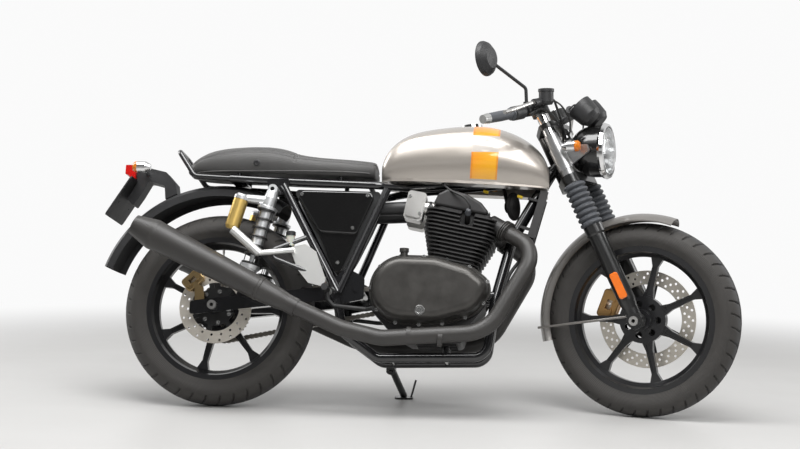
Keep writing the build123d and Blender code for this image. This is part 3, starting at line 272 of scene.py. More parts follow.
def tank_paint():
    """Champagne silver with flakes under clear coat, and an orange stripe broken by a bare band."""
    finish = Finish("tank_silver_paint")
    x, _, z = finish.within(bike)
    along = x - stripe_lean * (z - stripe_foot)
    above_lip = (z + x * lip_slope).steps(lip_height, lip_height + 1.0)
    stripe = along.band(*stripe_ends, 1.0) * above_lip
    inset = along.band(*inset_ends, 0.8) * above_lip
    panel = z.band(*bare_band, 1.0) * stripe
    line = stripe - inset
    flake = finish.cells(2600.0)
    tone = finish.noise(6.0, 3.0)
    silver = finish.mix(flake, (0.38, 0.345, 0.31), (0.56, 0.515, 0.465))
    silver = finish.mix(tone * 0.35, silver, (0.45, 0.41, 0.37))
    shade = (along - z * 0.5).steps(-330.0, -190.0)
    orange = finish.mix(shade, (0.88, 0.27, 0.008), (0.92, 0.44, 0.015))
    colour = finish.mix(stripe, silver, orange)
    colour = finish.mix(line * 0.6, colour, (0.72, 0.20, 0.01))
    colour = finish.mix(panel, colour, (0.54, 0.50, 0.455))
    finish.set(
        Base_Color=colour, Metallic=0.68 - stripe * 0.62, Roughness=finish.cloud(18.0, 0.30, 0.38),
        Coat_Weight=1.0, Coat_Roughness=0.03,
    )
    return finish.bump(finish.noise(420.0), 0.00002)


def vinyl():
    """Charcoal seat vinyl with a pebbled grain."""
    finish = Finish("seat_vinyl")
    pebbles = finish.cells(620.0, "SMOOTH_F1")
    creases = finish.noise(120.0, 5.0)
    wear = finish.noise(7.0, 4.0)
    finish.set(
        Base_Color=finish.mix(wear, (0.046, 0.045, 0.044), (0.074, 0.072, 0.070)),
        Roughness=pebbles * 0.15 + wear * 0.12 + 0.42, Sheen_Weight=0.12, Sheen_Roughness=0.5,
    )
    return finish.bump(pebbles * 0.7 + creases * 0.3, 0.0005)


def rubber(name, colour, roughness):
    """Moulded rubber, a little chalky, with fine grain."""
    finish = Finish(name)
    chalk = finish.noise(22.0, 6.0)
    fine = finish.noise(1600.0)
    finish.set(
        Base_Color=finish.mix(chalk, tint(colour, 0.7), tint(colour, 1.5)),
        Roughness=chalk * 0.2 + (roughness - 0.1),
    )
    return finish.bump(fine, 0.00012)


def tyre_rubber(name, hub):
    """Tyre rubber: moulded rings on the side wall and a scuffed crown."""
    finish = Finish(name)
    x, y, z = finish.within(hub)
    radius = x.maths("SQRT", x * x + z * z)
    side = 1 - radius.steps(288.0, 292.0)
    rings = (radius * 1.6).wave() * side
    dust = finish.noise(30.0, 6.0)
    flank = abs(y).steps(18.0, 34.0)
    worn = finish.mix(flank, (0.036, 0.036, 0.038), (0.030, 0.028, 0.026))
    finish.set(
        Base_Color=finish.mix(dust * 0.6, worn, (0.066, 0.061, 0.056)),
        Roughness=dust * 0.18 + 0.58,
    )
    return finish.bump(rings * 0.6 + finish.noise(900.0) * 0.5, 0.0005)


def glass(name, colour, roughness, transmission):
    """Clear or coloured moulded lens."""
    finish = Finish(name)
    ripple = finish.noise(90.0)
    finish.set(
        Base_Color=finish.mix(ripple, tint(colour, 0.92), colour),
        Roughness=finish.cloud(30.0, roughness, roughness * 1.6),
        Transmission_Weight=transmission, IOR=1.46, Coat_Weight=0.3,
    )
    return finish.bump(ripple, 0.0004)


def disc_steel(name, hub, inner):
    """Ground steel rotor with rubbed rings, and a black spider inside it."""
    finish = Finish(name)
    x, _, z = finish.within(hub)
    radius = x.maths("SQRT", x * x + z * z)
    rotor = radius.steps(inner - 0.6, inner + 0.6)
    smudge = finish.noise(16.0, 5.0)
    inputs = {"W": radius, "Scale": 1.3, "Detail": 4.0}
    rings = finish.add("ShaderNodeTexNoise", {"noise_dimensions": "1D"}, inputs)
    steel = finish.mix(smudge, (0.68, 0.63, 0.55), (0.84, 0.79, 0.71))
    finish.set(
        Base_Color=finish.mix(rotor, grey(0.012), steel),
        Metallic=rotor * 0.7 + 0.1, Roughness=rings * 0.22 + smudge * 0.1 + 0.24,
    )
    return finish.bump(rings * rotor, 0.00012)


def bar_finish():
    """Black bar with turned silver weights at its ends."""
    finish = Finish("bar_black_silver_ends")
    _, y, _ = finish.within(fork)
    weight = abs(y).steps(365.0, 366.0)
    marks = finish.noise(600.0, 3.0)
    finish.set(
        Base_Color=finish.mix(weight, grey(0.014), (0.62, 0.62, 0.61)),
        Metallic=weight * 0.95, Roughness=marks * 0.12 + 0.26,
    )
    return finish.bump(marks, 0.00004)


def controls_finish():
    """Silver foot plates with dark rubber on the pegs and dark pedals."""
    finish = Finish("foot_controls_silver")
    _, y, z = finish.within(bike)
    peg = abs(y).steps(178.0, 179.0) * (1 - z.steps(470.0, 471.0))
    low = 1 - z.steps(352.0, 354.0)
    dark = peg.maths("MAXIMUM", peg, low)
    ribs = (y * 1.3).wave() * peg
    marks = finish.noise(500.0, 3.0)
    finish.set(
        Base_Color=finish.mix(dark, (0.80, 0.80, 0.78), grey(0.014)),
        Metallic=0.72 - dark * 0.72, Roughness=marks * 0.2 + 0.26 + dark * 0.2,
    )
    return finish.bump(marks * 0.15 + ribs * 0.5, 0.0006)


def dial_face(name, place):
    """Dark dial with pale ticks round its rim, open at one side, and a grey window."""
    finish = Finish(name)
    x, y, _ = finish.within(place)
    radius = x.maths("SQRT", x * x + y * y)
    angle = x.maths("ARCTAN2", y, x)

    def spread(count, low, high):
        """Even marks round the dial."""
        return 1 - abs((angle * (count / tau)).repeat(1.0) - 0.5).steps(low, high)

    fine = spread(48, 0.10, 0.14) * radius.band(28.6, 33.0, 0.4)
    bold = spread(12, 0.045, 0.06) * radius.band(25.0, 33.0, 0.4)
    ticks = fine.maths("MAXIMUM", fine, bold)
    gap = abs(angle).steps(0.55, 0.57)
    window = (1 - abs(x + 12.0).steps(5.0, 5.4)) * (1 - abs(y).steps(9.0, 9.4))
    ground = finish.mix(radius.steps(22.0, 22.4), (0.020, 0.020, 0.022), (0.006, 0.006, 0.007))
    ground = finish.mix(window, ground, (0.20, 0.23, 0.20))
    finish.set(
        Base_Color=finish.mix(ticks * gap, ground, (0.80, 0.80, 0.76)),
        Roughness=finish.cloud(40.0, 0.3, 0.45), Coat_Weight=1.0, Coat_Roughness=0.02,
    )
    return finish.bump(ticks, 0.0001)


def plain(name, colour, roughness, **more):
    """Small moulded piece in one colour, a little uneven."""
    finish = Finish(name)
    blotch = finish.noise(60.0, 4.0)
    finish.set(
        Base_Color=finish.mix(blotch, tint(colour, 0.85), tint(colour, 1.1)),
        Roughness=blotch * 0.1 + roughness - 0.05, **more,
    )
    return finish.bump(finish.noise(700.0), 0.00004)


finishes = {
    "gloss_black_paint": painted(
        "gloss_black_paint", (0.010, 0.010, 0.011), 0.16, coat=0.8, grain=260.0, depth=0.00003),
    "side_covers": painted(
        "side_cover_gloss_black", grey(0.006), 0.10, coat=1.0, grain=260.0, depth=0.00002),
    "satin_black_paint": cast("satin_black_engine_paint", (0.022, 0.021, 0.021), 0.44, 0.1),
    "cover_grey": cast("cover_grey_paint", (0.062, 0.059, 0.055), 0.33, 0.5, 700.0, 0.00008),
    "matt_black_paint": painted(
        "matt_black_exhaust_paint", (0.036, 0.034, 0.032), 0.43, grain=1500.0, depth=0.00012),
    "bare_aluminium": metal("brushed_aluminium", (0.62, 0.61, 0.59), 0.32, (1.0, 14.0, 14.0)),
    "shroud_silver": metal("shroud_satin_silver", grey(0.50), 0.34),
    "tank_silver": tank_paint(),
    "mudguard_grey": painted(
        "mudguard_grey_paint", (0.225, 0.213, 0.200), 0.34, coat=0.35, metal=0.5, grain=2400.0,
        depth=0.00002),
    "black_plastic": cast("moulded_black_plastic", (0.018, 0.018, 0.019), 0.48, 0.0, 900.0, 0.00010),
    "seat_leather": vinyl(),
    "chrome_plate": metal("chrome_plate", grey(0.80), 0.07, depth=0.000004),
    "shock_silver": metal("shock_satin_silver", (0.82, 0.83, 0.84), 0.40),
    "spring_black": painted("spring_black_paint", grey(0.012), 0.3, coat=0.4),
    "gold_anodise": metal("gold_anodise", (0.88, 0.62, 0.20), 0.40, (1.0, 1.0, 8.0)),
    "boot_rubber": rubber("fork_boot_rubber", (0.062, 0.066, 0.074), 0.55),
    "leg_black": painted("leg_satin_black", grey(0.012), 0.30, coat=0.3, grain=600.0),
    "lamp_black": painted("lamp_gloss_black", grey(0.010), 0.18, coat=0.6),
    "lamp_glass": glass("lamp_clear_glass", (0.96, 0.97, 0.97), 0.02, 1.0),
    "amber_lens": glass("amber_lens_plastic", (0.90, 0.28, 0.02), 0.12, 0.45),
    "red_lens": glass("red_lens_plastic", (0.72, 0.015, 0.012), 0.12, 0.35),
    "mirror_silver": metal("mirror_silver", (0.86, 0.87, 0.88), 0.03, depth=0.0),
    "wheel_black": painted("wheel_satin_black", (0.011, 0.011, 0.012), 0.30, coat=0.35, grain=700.0),
    "front_caliper": metal("caliper_bronze", (0.60, 0.36, 0.15), 0.42),
    "rear_caliper": metal("caliper_dull_gold", (0.42, 0.30, 0.15), 0.40),
    "front_disc": disc_steel("front_disc_steel", front_hub, 114.0),
    "rear_disc": disc_steel("rear_disc_steel", rear_hub, 80.0),
    "handlebars": bar_finish(),
    "foot_controls": controls_finish(),
    "bolt_zinc": metal("bolt_bright_zinc", (0.62, 0.62, 0.61), 0.24),
    "reflector": metal("lamp_reflector", (0.88, 0.88, 0.89), 0.10, depth=0.00001),
    "reflex": plain("reflex_orange", (0.85, 0.17, 0.004), 0.30, Coat_Weight=0.8),
    "bulb": plain("bulb_glass", (0.85, 0.86, 0.88), 0.12, Coat_Weight=0.6),
    "needle": plain("needle_orange", (0.80, 0.16, 0.02), 0.4),
    "tag_yellow": plain("cable_tag_yellow", (0.86, 0.60, 0.02), 0.45),
    "bottle": plain("brake_bottle_plastic", (0.55, 0.53, 0.46), 0.35, Subsurface_Weight=0.2),
    "thread": plain("seat_thread", (0.10, 0.10, 0.105), 0.6),
    "chain_steel": metal("chain_oiled_steel", (0.30, 0.28, 0.25), 0.38),
    "hose_black": rubber("hose_black_rubber", grey(0.014), 0.45),
    "front_tyre": tyre_rubber("front_tyre_rubber", front_hub),
    "rear_tyre": tyre_rubber("rear_tyre_rubber", rear_hub),
}

slot_of = {row["node"]: row["material_slot"] for row in frame["record"]["subparts"]}


def dress(node, material):
    """Give a CAD node one finish."""
    mesh = nodes[node].data
    if not mesh.materials:
        mesh.materials.append(material)
    for index in range(len(mesh.materials)):
        mesh.materials[index] = material


for node in nodes:
    dress(node, finishes.get(node) or finishes.get(slot_of.get(node)) or finishes["black_plastic"])


def add_object(name, data):
    made = bpy.data.objects.new(name, data)
    scene.collection.objects.link(made)
    return made


def mesh_of(name, shape):
    """Plain mesh of a finished shape."""
    mesh = bpy.data.meshes.new(name)
    shape.to_mesh(mesh)
    shape.free()
    return mesh


# Camera at the photograph's angle, for a frame of 800 by 449
picture_width = 800
focal_pixels = 1370.0
camera_spot = Vector((0.3147, -4.6496, 0.725))
camera_yaw = radians(-4.65)
camera_pitch = radians(-1.48)
camera_roll = radians(0.92)


def aim_camera():
    forward = Vector((
        sin(camera_yaw) * cos(camera_pitch),
        cos(camera_yaw) * cos(camera_pitch),
        sin(camera_pitch),
    ))
    right = forward.cross(up).normalized()
    over = right.cross(forward)
    level = right * cos(camera_roll) + over * sin(camera_roll)
    over = over * cos(camera_roll) - right * sin(camera_roll)
    data = bpy.data.cameras.new("photo_camera")
    data.sensor_width = 36.0
    data.sensor_fit = "HORIZONTAL"
    data.lens = data.sensor_width * focal_pixels / picture_width
    data.clip_end = 100.0
    camera = add_object("photo_camera", data)
    camera.matrix_world = axes(level, over, -forward, camera_spot)
    scene.camera = camera


aim_camera()


def soft_box(name, spot, target, width, height, power):
    """Rectangular lamp at a spot, facing its target."""
    data = bpy.data.lights.new(name, "AREA")
    data.shape = "RECTANGLE"
    data.size = width
    data.size_y = height
    data.energy = power
    lamp = add_object(name, data)
    lamp.location = spot
    lamp.rotation_euler = (Vector(spot) - Vector(target)).to_track_quat("Z", "Y").to_euler()


soft_box("ceiling_box", (-0.3, -1.0, 3.3), (0.0, 0.0, 0.4), 3.6, 1.4, 140.0)
soft_box("window_box", (1.4, -3.6, 3.4), (0.0, 0.0, 0.5), 2.6, 1.2, 85.0)
soft_box("rear_box", (-3.6, 1.2, 2.2), (0.0, 0.0, 0.6), 1.6, 2.0, 45.0)
soft_box("front_box", (3.9, 0.6, 1.9), (0.3, 0.0, 0.6), 1.4, 2.0, 45.0)


room_white = grey(0.96)


def pale_world():
    """White room for the camera; metal sees a dark front side with high windows."""
    world = bpy.data.worlds.new("white_room")
    world.use_nodes = True
    scene.world = world
    graph = Graph(world.node_tree)
    shader = world.node_tree.nodes["Background"]
    path = graph.outlets("ShaderNodeLightPath")
    seen = path["Is Camera Ray"] + path["Is Transmission Ray"]
    gloss = path["Is Glossy Ray"]
    x, y, z = graph.split(graph.add("ShaderNodeTexCoord", output="Generated"))
    angle = x.maths("ARCTAN2", x, y)
    behind = y.steps(-0.10, 0.40)
    panes = (angle * 5.0 + 1.0).wave().steps(-0.6, -0.3)
    windows = z.band(0.52, 0.78, 0.06) * panes * (1 - behind)
    wall = (z.steps(-0.02, 0.03) - z.steps(0.14, 0.24)) * (1 - behind)
    level = 0.07 + behind * 0.65 + windows * 1.1 + wall * 0.40
    graph.put(shader.inputs["Color"], graph.mix(gloss, room_white, level))
    graph.put(shader.inputs["Strength"], 0.27 + (seen + gloss).steps(0.2, 0.8) * 0.73)


pale_world()


def pale_floor():
    """Pale matt floor that keeps the shadow near the bike and runs out to white."""
    shape = bmesh.new()
    bmesh.ops.create_circle(shape, cap_ends=True, segments=96, radius=14.0)
    mesh = mesh_of("studio_floor", shape)
    floor = add_object("studio_floor", mesh)
    finish = Finish("pale_floor")
    reach = finish.add("ShaderNodeVectorMath", {"operation": "LENGTH"}, {0: finish.spot}, output="Value")
    finish.set(
        Base_Color=finish.mix(finish.noise(3.0, 4.0), (0.50, 0.495, 0.485), (0.54, 0.535, 0.525)),
        Roughness=finish.cloud(5.0, 0.38, 0.5),
    )
    path = finish.outlets("ShaderNodeLightPath")
    seen = (path["Is Camera Ray"] + path["Is Transmission Ray"]).steps(0.2, 0.8)
    white = finish.add("ShaderNodeEmission", None, {"Color": (*room_white, 1.0), "Strength": 1.0})
    surface = finish.add("ShaderNodeMixShader", None, {
        0: reach.steps(1.9, 4.2) * seen, 1: Knot(finish, finish.shader.outputs[0]), 2: white,
    })
    finish.put(finish.tree.nodes["Material Output"].inputs["Surface"], surface)
    mesh.materials.append(finish.material)


pale_floor()


def new_piece(name, mesh, body, finish=None, replaced=()):
    """Add a finished mesh as a piece of one body."""
    piece = add_object(name, mesh)
    if finish:
        mesh.materials.clear()
        mesh.materials.append(finishes[finish])
        for face in mesh.polygons:
            face.material_index = 0
    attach(piece, body)
    if replaced:
        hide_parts(*replaced)
    return piece


def merged_copy(node):
    """A CAD node's mesh with its loose triangles joined."""
    shape = bmesh.new()
    shape.from_mesh(nodes[node].data)
    bmesh.ops.remove_doubles(shape, verts=shape.verts, dist=0.00005)
    return mesh_of(node + "_copy", shape)


def closed_mesh(name, spots, faces, sharp=35.0):
    """Smooth mesh of points and faces, with the faces turned outward."""
    mesh = bpy.data.meshes.new(name)
    mesh.from_pydata(spots, [], faces)
    shape = bmesh.new()
    shape.from_mesh(mesh)
    bmesh.ops.recalc_face_normals(shape, faces=shape.faces)
    shape.to_mesh(mesh)
    shape.free()
    return smooth_mesh(mesh, sharp)


def final_mesh(holder):
    """Plain mesh of what an object's curve or modifiers come to."""
    bpy.context.view_layer.update()
    graph = bpy.context.evaluated_depsgraph_get()
    return bpy.data.meshes.new_from_object(holder.evaluated_get(graph))


def settle(piece):
    """Turn a piece with modifiers into a plain mesh."""
    mesh = final_mesh(piece)
    piece.modifiers.clear()
    old = piece.data
    piece.data = mesh
    bpy.data.meshes.remove(old)


def at(place, x, y, z):
    """Spot of a millimetre point given in a frame of the bike."""
    return place @ (Vector((x, y, z)) * 0.001)


def toward(place, x, y, z):
    return (place.to_3x3() @ Vector((x, y, z))).normalized()


def smooth_mesh(mesh, sharp=35.0):
    for face in mesh.polygons:
        face.use_smooth = True
    mesh.set_sharp_from_angle(angle=radians(sharp))
    return mesh


def lathe(name, profile, place, turns, loop=False):
    """Mesh turned about a frame's Z axis from (radius, distance) in millimetres."""
    shape = bmesh.new()
    rings = []
    for radius, distance in profile:
        if radius < 0.01:
            rings.append([shape.verts.new(at(place, 0.0, 0.0, distance))] * turns)
            continue
        ring = []
        for k in range(turns):
            angle = tau * k / turns
            x = radius * cos(angle)
            y = radius * sin(angle)
            ring.append(shape.verts.new(at(place, x, y, distance)))
        rings.append(ring)
    pairs = list(zip(rings, rings[1:]))
    if loop:
        pairs.append((rings[-1], rings[0]))
    for step, (low, high) in enumerate(pairs):
        for k in range(turns):
            after = (k + 1) % turns
            corners = [low[k], low[after], high[after], high[k]]
            corners = [v for i, v in enumerate(corners) if v not in corners[:i]]
            if len(corners) > 2:
                face = shape.faces.new(corners)
                face.material_index = step
    bmesh.ops.recalc_face_normals(shape, faces=shape.faces)
    return smooth_mesh(mesh_of(name, shape))


def pipe(name, points, radius):
    """Mesh tube along a smooth line through points."""
    curve = bpy.data.curves.new(name, "CURVE")
    curve.dimensions = "3D"
    curve.bevel_depth = radius
    curve.bevel_resolution = 3
    curve.resolution_u = 10
    curve.use_fill_caps = True
    line = curve.splines.new("BEZIER")
    line.bezier_points.add(len(points) - 1)
    for knot, spot in zip(line.bezier_points, points):
        knot.co = spot
        knot.handle_left_type = "AUTO"
        knot.handle_right_type = "AUTO"
    holder = add_object(name, curve)
    mesh = final_mesh(holder)
    bpy.data.objects.remove(holder)
    bpy.data.curves.remove(curve)
    return smooth_mesh(mesh)


def turned_piece(name, profile, place, turns, body, slot, finish=None, replaced=(), loop=False):
    """Lathe a piece; its finish is that of its slot unless named."""
    new_piece(name, lathe(name, profile, place, turns, loop), body, finish or slot, replaced)


def pipe_piece(name, points, radius, body, slot, finish=None):
    new_piece(name, pipe(name, points, radius), body, finish or slot)


def spot_mesh(name, places):
    """Loose points, each with the way it faces and the way it runs."""
    mesh = bpy.data.meshes.new(name)
    mesh.from_pydata([place[0] for place in places], [], [])
    for word, column in (("facing", 1), ("running", 2)):
        layer = mesh.attributes.new(word, "FLOAT_VECTOR", "POINT")
        for item, place in zip(layer.data, places):
            item.vector = place[min(column, len(place) - 1)]
    return mesh


def new_group(name, sizes):
    """Geometry node group with named sizes in, and its graph."""
    tree = bpy.data.node_groups.new(name, "GeometryNodeTree")
    tree.interface.new_socket("Geometry", in_out="INPUT", socket_type="NodeSocketGeometry")
    for word in sizes:
        tree.interface.new_socket(word, in_out="INPUT", socket_type="NodeSocketFloat")
    tree.interface.new_socket("Geometry", in_out="OUTPUT", socket_type="NodeSocketGeometry")
    graph = Graph(tree)
    entry = tree.nodes.new("NodeGroupInput")
    return graph, {socket.name: Knot(graph, socket) for socket in entry.outputs if socket.name}


def close_group(graph, points, instance, rotation, material):
    """Set one instance on each point, make it real and hand it out."""
    placed = graph.add("GeometryNodeInstanceOnPoints", None, {
        "Points": points, "Instance": instance, "Rotation": rotation})
    real = graph.add("GeometryNodeRealizeInstances", None, {0: placed})
    done = graph.add("GeometryNodeSetMaterial", None, {0: real, "Material": material})
    last = graph.tree.nodes.new("NodeGroupOutput")
    graph.put(last.inputs[0], done)


def aimed(graph, axis, word, pivot="AUTO", start=None):
    """Rotation that turns one axis toward a named way, after another rotation."""
    way = graph.add("GeometryNodeInputNamedAttribute", {"data_type": "FLOAT_VECTOR"}, {"Name": word})
    inputs = {"Vector": way}
    if start:
        inputs["Rotation"] = start
    return graph.add("FunctionNodeAlignRotationToVector", {"axis": axis, "pivot_axis": pivot}, inputs)


def grow(name, places, graph, sizes, body):
    """Run a finished group over a table of places and keep the plain mesh."""
    piece = add_object(name, spot_mesh(name, places))
    made = piece.modifiers.new("grow", "NODES")
    made.node_group = graph.tree
    for socket in graph.tree.interface.items_tree:
        if socket.in_out == "INPUT" and socket.name in sizes:
            made[socket.identifier] = sizes[socket.name]
    settle(piece)
    smooth_mesh(piece.data)
    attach(piece, body)


def bolt_group(name, finish):
    """Socket head bolt on a washer, standing on each point."""
    graph, size = new_group(name, ("Head radius", "Head height"))
    radius, height = size["Head radius"], size["Head height"]

    def disc(sides, wide, tall, lift):
        """Flat cylinder in shares of the head's radius and height."""
        inputs = {"Vertices": sides, "Radius": radius * wide, "Depth": height * tall}
        made = graph.add("GeometryNodeMeshCylinder", None, inputs)
        offset = graph.add("ShaderNodeCombineXYZ", None, {"Z": height * lift})
        return graph.add("GeometryNodeTransform", None, {"Geometry": made, "Translation": offset})

    cut = {"Mesh 1": disc(20, 1.0, 1.0, 0.5), "Mesh 2": disc(6, 0.58, 1.0, 1.05)}
    head = graph.add("GeometryNodeMeshBoolean", {"operation": "DIFFERENCE"}, cut)
    washer = disc(24, 1.3, 0.3, 0.0)
    join = graph.tree.nodes.new("GeometryNodeJoinGeometry")
    for part in (head, washer):
        graph.tree.links.new(part.socket, join.inputs[0])
    turn = aimed(graph, "Z", "facing")
    close_group(graph, size["Geometry"], Knot(graph, join.outputs[0]), turn, finishes[finish])
    return graph


def stitch_group(name, finish):
    """Short rounded thread lying along each point's run."""
    graph, size = new_group(name, ("Thread radius", "Thread length"))
    thin = size["Thread radius"]
    half = size["Thread length"] * 0.5
    thread = graph.add("GeometryNodeMeshUVSphere", None, {"Segments": 8, "Rings": 6, "Radius": 1.0})
    scale = graph.add("ShaderNodeCombineXYZ", None, {"X": half, "Y": thin, "Z": thin})
    thread = graph.add("GeometryNodeTransform", None, {"Geometry": thread, "Scale": scale})
    turn = aimed(graph, "Z", "facing", "X", aimed(graph, "X", "running"))
    close_group(graph, size["Geometry"], thread, turn, finishes[finish])
    return graph


# Engine and chain sizes in millimetres of the upright bike
cover_face = 125.5
cylinder_tilt = radians(11.0)
cylinder = bike @ Matrix.Translation((0.088, 0.0, 0.462)) @ Matrix.Rotation(cylinder_tilt, 4, "Y")
head_top = 183.0
cover_circles = ((-76, 380, 111), (14, 378, 112), (100, 378, 88), (148, 386, 52))
panel_screws = (
    (-424, 117.6, 692), (-206, 117.6, 690), (-252, 117.6, 582), (-298, 107.6, 468),
    (-66, 111.6, 692), (-34, 111.6, 634),
)
chain_pitch = 15.875
rear_teeth = 38
front_teeth = 15
chain_y = 84.0
plate_reach = 8.3


def egg_points(grow_by, count):
    """Even points round the outline of the engine covers."""
    turns = 720
    first = 0.35
    edge = []
    for k in range(turns):
        way = ray(tau * k / turns)
        x, z, radius = max(cover_circles, key=lambda c: c[0] * way.x + c[1] * way.y + c[2])
        edge.append(Vector((x, z)) + way * (radius + grow_by))
    following = edge[1:] + edge[:1]
    gaps = [(b - a).length for a, b in zip(edge, following)]
    total = sum(gaps)
    points = []
    walked = 0.0
    for spot, gap, after in zip(edge, gaps, following):
        while gap and len(points) < count and total * (len(points) + first) / count <= walked + gap:
            share = (total * (len(points) + first) / count - walked) / gap
            points.append(spot.lerp(after, share))
        walked += gap
    return points


def engine_bolts():
    """Bolts of the engine covers and cam boxes, screws of the side panels and throttle lids."""
    group = bolt_group("socket_bolt", "bolt_zinc")
    faces = [(side, toward(bike, 0, side, 0)) for side in (-1, 1)]
    places = []
    for side, face in faces:
        for spot in egg_points(-1.5, 13):
            places.append((at(bike, spot.x, side * cover_face, spot.y), face))
    for x, z in ((-100, 26), (66, 10)):
        for y in (-96, 96):
            places.append((at(cylinder, x, y, head_top + z - 0.5), toward(cylinder, 0, 0, 1)))
    sizes = {"Head radius": 0.0052, "Head height": 0.0055}
    grow("engine_cover_bolts", places, group, sizes, "chassis")
    places = [(at(bike, x, side * y, z), face) for side, face in faces for x, y, z in panel_screws]
    sizes = {"Head radius": 0.0046, "Head height": 0.0036}
    grow("panel_screws", places, group, sizes, "chassis")


def disc_bolts():
    """Button bolts that hold each rotor's spider to the hub."""
    count = 7
    circle = 52
    sizes = {"Head radius": 0.0055, "Head height": 0.0045}
    group = bolt_group("disc_bolt", "bolt_zinc")
    for word, hub, y, side in (("front", front_hub, 57.0, 1), ("rear", rear_hub, -77.0, -1)):
        places = []
        for k in range(count):
            angle = tau * (k + 0.5) / count
            spot = at(hub, circle * cos(angle), y - 0.4 * side, circle * sin(angle))
            places.append((spot, toward(hub, 0, side, 0)))
        grow(word + "_disc_bolts", places, group, sizes, word + "_wheel")


def chain_pins():
    """Rivet heads of the chain, on both plates of each link."""
    big = chain_pitch / sin(pi / rear_teeth) / 2
    small = chain_pitch / sin(pi / front_teeth) / 2
    rear = Vector((-700.0, 318.0))
    front = Vector((-165.0, 370.0))
    reach = (front - rear).length
    base = atan2(front.y - rear.y, front.x - rear.x)
    swing = acos((big - small) / reach)
    high, low = base + swing, base - swing
    straight = sqrt(reach ** 2 - (big - small) ** 2)
    lengths = (straight, 2 * swing * small, straight, (tau - 2 * swing) * big)
    total = sum(lengths)
    links = 2 * round(total / chain_pitch / 2)
    places = []
    for k in range(links):
        walked = total * k / links
        if walked < lengths[0]:
            spot = rear + ray(high) * big
            spot += Vector((sin(high), -cos(high))) * walked
        elif walked < lengths[0] + lengths[1]:
            spot = front + ray(high - (walked - lengths[0]) / small) * small
        elif walked < total - lengths[3]:
            spot = front + ray(low) * small
            spot += Vector((sin(low), -cos(low))) * (walked - lengths[0] - lengths[1])
        else:
            spot = rear + ray(low - (walked - total + lengths[3]) / big) * big
        for side in (-1, 1):
            pin = at(bike, spot.x, chain_y + side * plate_reach, spot.y)
            places.append((pin, toward(bike, 0, side, 0)))
    group = bolt_group("chain_pin", "chain_steel")
    sizes = {"Head radius": 0.0032, "Head height": 0.0014}
    grow("chain_rivets", places, group, sizes, "chassis")


def tyre_section(node, hub):
    """Outer outline (y, radius) of a tyre's section, from the left bead to the right one."""
    turn = hub.inverted() @ nodes[node].matrix_world
    seen = set()
    for vertex in nodes[node].data.vertices:
        spot = turn @ vertex.co
        seen.add((round(spot.y, 5), round(hypot(spot.x, spot.z), 5)))
    points = [Vector(pair) for pair in sorted(seen)]
    ring = [points[k] for k in geometry.convex_hull_2d(points)]
    floor = min(p.y for p in ring) + 0.004
    start = max((k for k, p in enumerate(ring) if p.y < floor), key=lambda k: ring[k].x)
    ring = ring[start:] + ring[:start]
    stop = min((k for k, p in enumerate(ring) if p.y < floor), key=lambda k: ring[k].x)
    return ring[:stop + 1]


def evenly(line, count):
    """Points at even steps along a line of points."""
    gaps = [(b - a).length for a, b in zip(line, line[1:])]
    total = sum(gaps)
    points = []
    step = 0
    walked = 0.0
    for k in range(count + 1):
        goal = total * k / count
        while step < len(gaps) - 1 and walked + gaps[step] < goal:
            walked += gaps[step]
            step += 1
        share = min(1.0, (goal - walked) / gaps[step])
        points.append(line[step].lerp(line[step + 1], share))
    return points, total


def notch(distance, half):
    """1 in the middle of a groove, 0 outside, with steep walls."""
    return min(1.0, max(0.0, (half - abs(distance)) / (half * 0.45)))


# Tread sizes: metres across the tyre, shares of one repeat round it
groove_depth = 0.0045
blade_half = 0.075
blade_from = 0.013
short_half = 0.055
short_from = 0.031
line_off = 0.0065
line_sway = 0.0022
line_half = 0.0022


def tread_depth(angle, off, repeats, shoulder):
    """Groove depth share of a road tread, at one angle and distance from the crown line."""
    turn = angle / tau * repeats
    reach = abs(off)
    if reach > shoulder:
        return 0.0
    side = 0.5 if off > 0 else 0.0
    slant = (turn + side - 14.0 * reach * (1 - 5.5 * reach)) % 1.0 - 0.5
    between = (slant + 0.5) % 1.0 - 0.5
    blade = notch(slant, blade_half) if blade_from < reach < shoulder - 0.002 else 0.0
    short = notch(between, short_half) if short_from < reach < shoulder - 0.001 else 0.0
    line = notch(reach - line_off - line_sway * sin(tau * turn), line_half)
    return max(blade, short, line)


def treaded_tyre(node, hub, body, repeats, shoulder):
    """Tyre with its grooves cut as shape, on the section of the CAD tyre."""
    turns, across = 720, 84
    section, total = evenly(tyre_section(node, hub), across)
    middle = total / 2
    ways = []
    for k in range(across + 1):
        run = section[min(k + 1, across)] - section[max(k - 1, 0)]
        ways.append(Vector((run.y, -run.x)).normalized())
    spots = []
    for k in range(turns):
        angle = tau * k / turns
        for j, (spot, way) in enumerate(zip(section, ways)):
            off = total * j / across - middle
            depth = groove_depth * tread_depth(angle, off, repeats, shoulder)
            radius = spot.y - way.y * depth
            y = spot.x - way.x * depth
            spots.append(hub @ Vector((radius * cos(angle), y, radius * sin(angle))))
    width = across + 1
    faces = []
    for k in range(turns):
        low = k * width
        high = (k + 1) % turns * width
        for j in range(width):
            after = (j + 1) % width
            faces.append((low + j, low + after, high + after, high + j))
    mesh = closed_mesh(node + "_tread", spots, faces, 28.0)
    new_piece(node + "_tread", mesh, body, node, (node,))


# Steering sizes in millimetres of the fork frame
lamp_spot = (164.0, 0.0, 553.0)
beam = Vector((cos(rake), 0.0, -sin(rake)))


def turned_frame(place, spot, way):
    """Frame whose Z runs along one way of another frame."""
    z = toward(place, *way)
    beside = toward(place, 0, 1, 0)
    if abs(z.dot(beside)) >= 0.95:
        beside = toward(place, 0, 0, 1)
    x = z.cross(beside).normalized()
    return axes(x, z.cross(x), z, at(place, *spot))


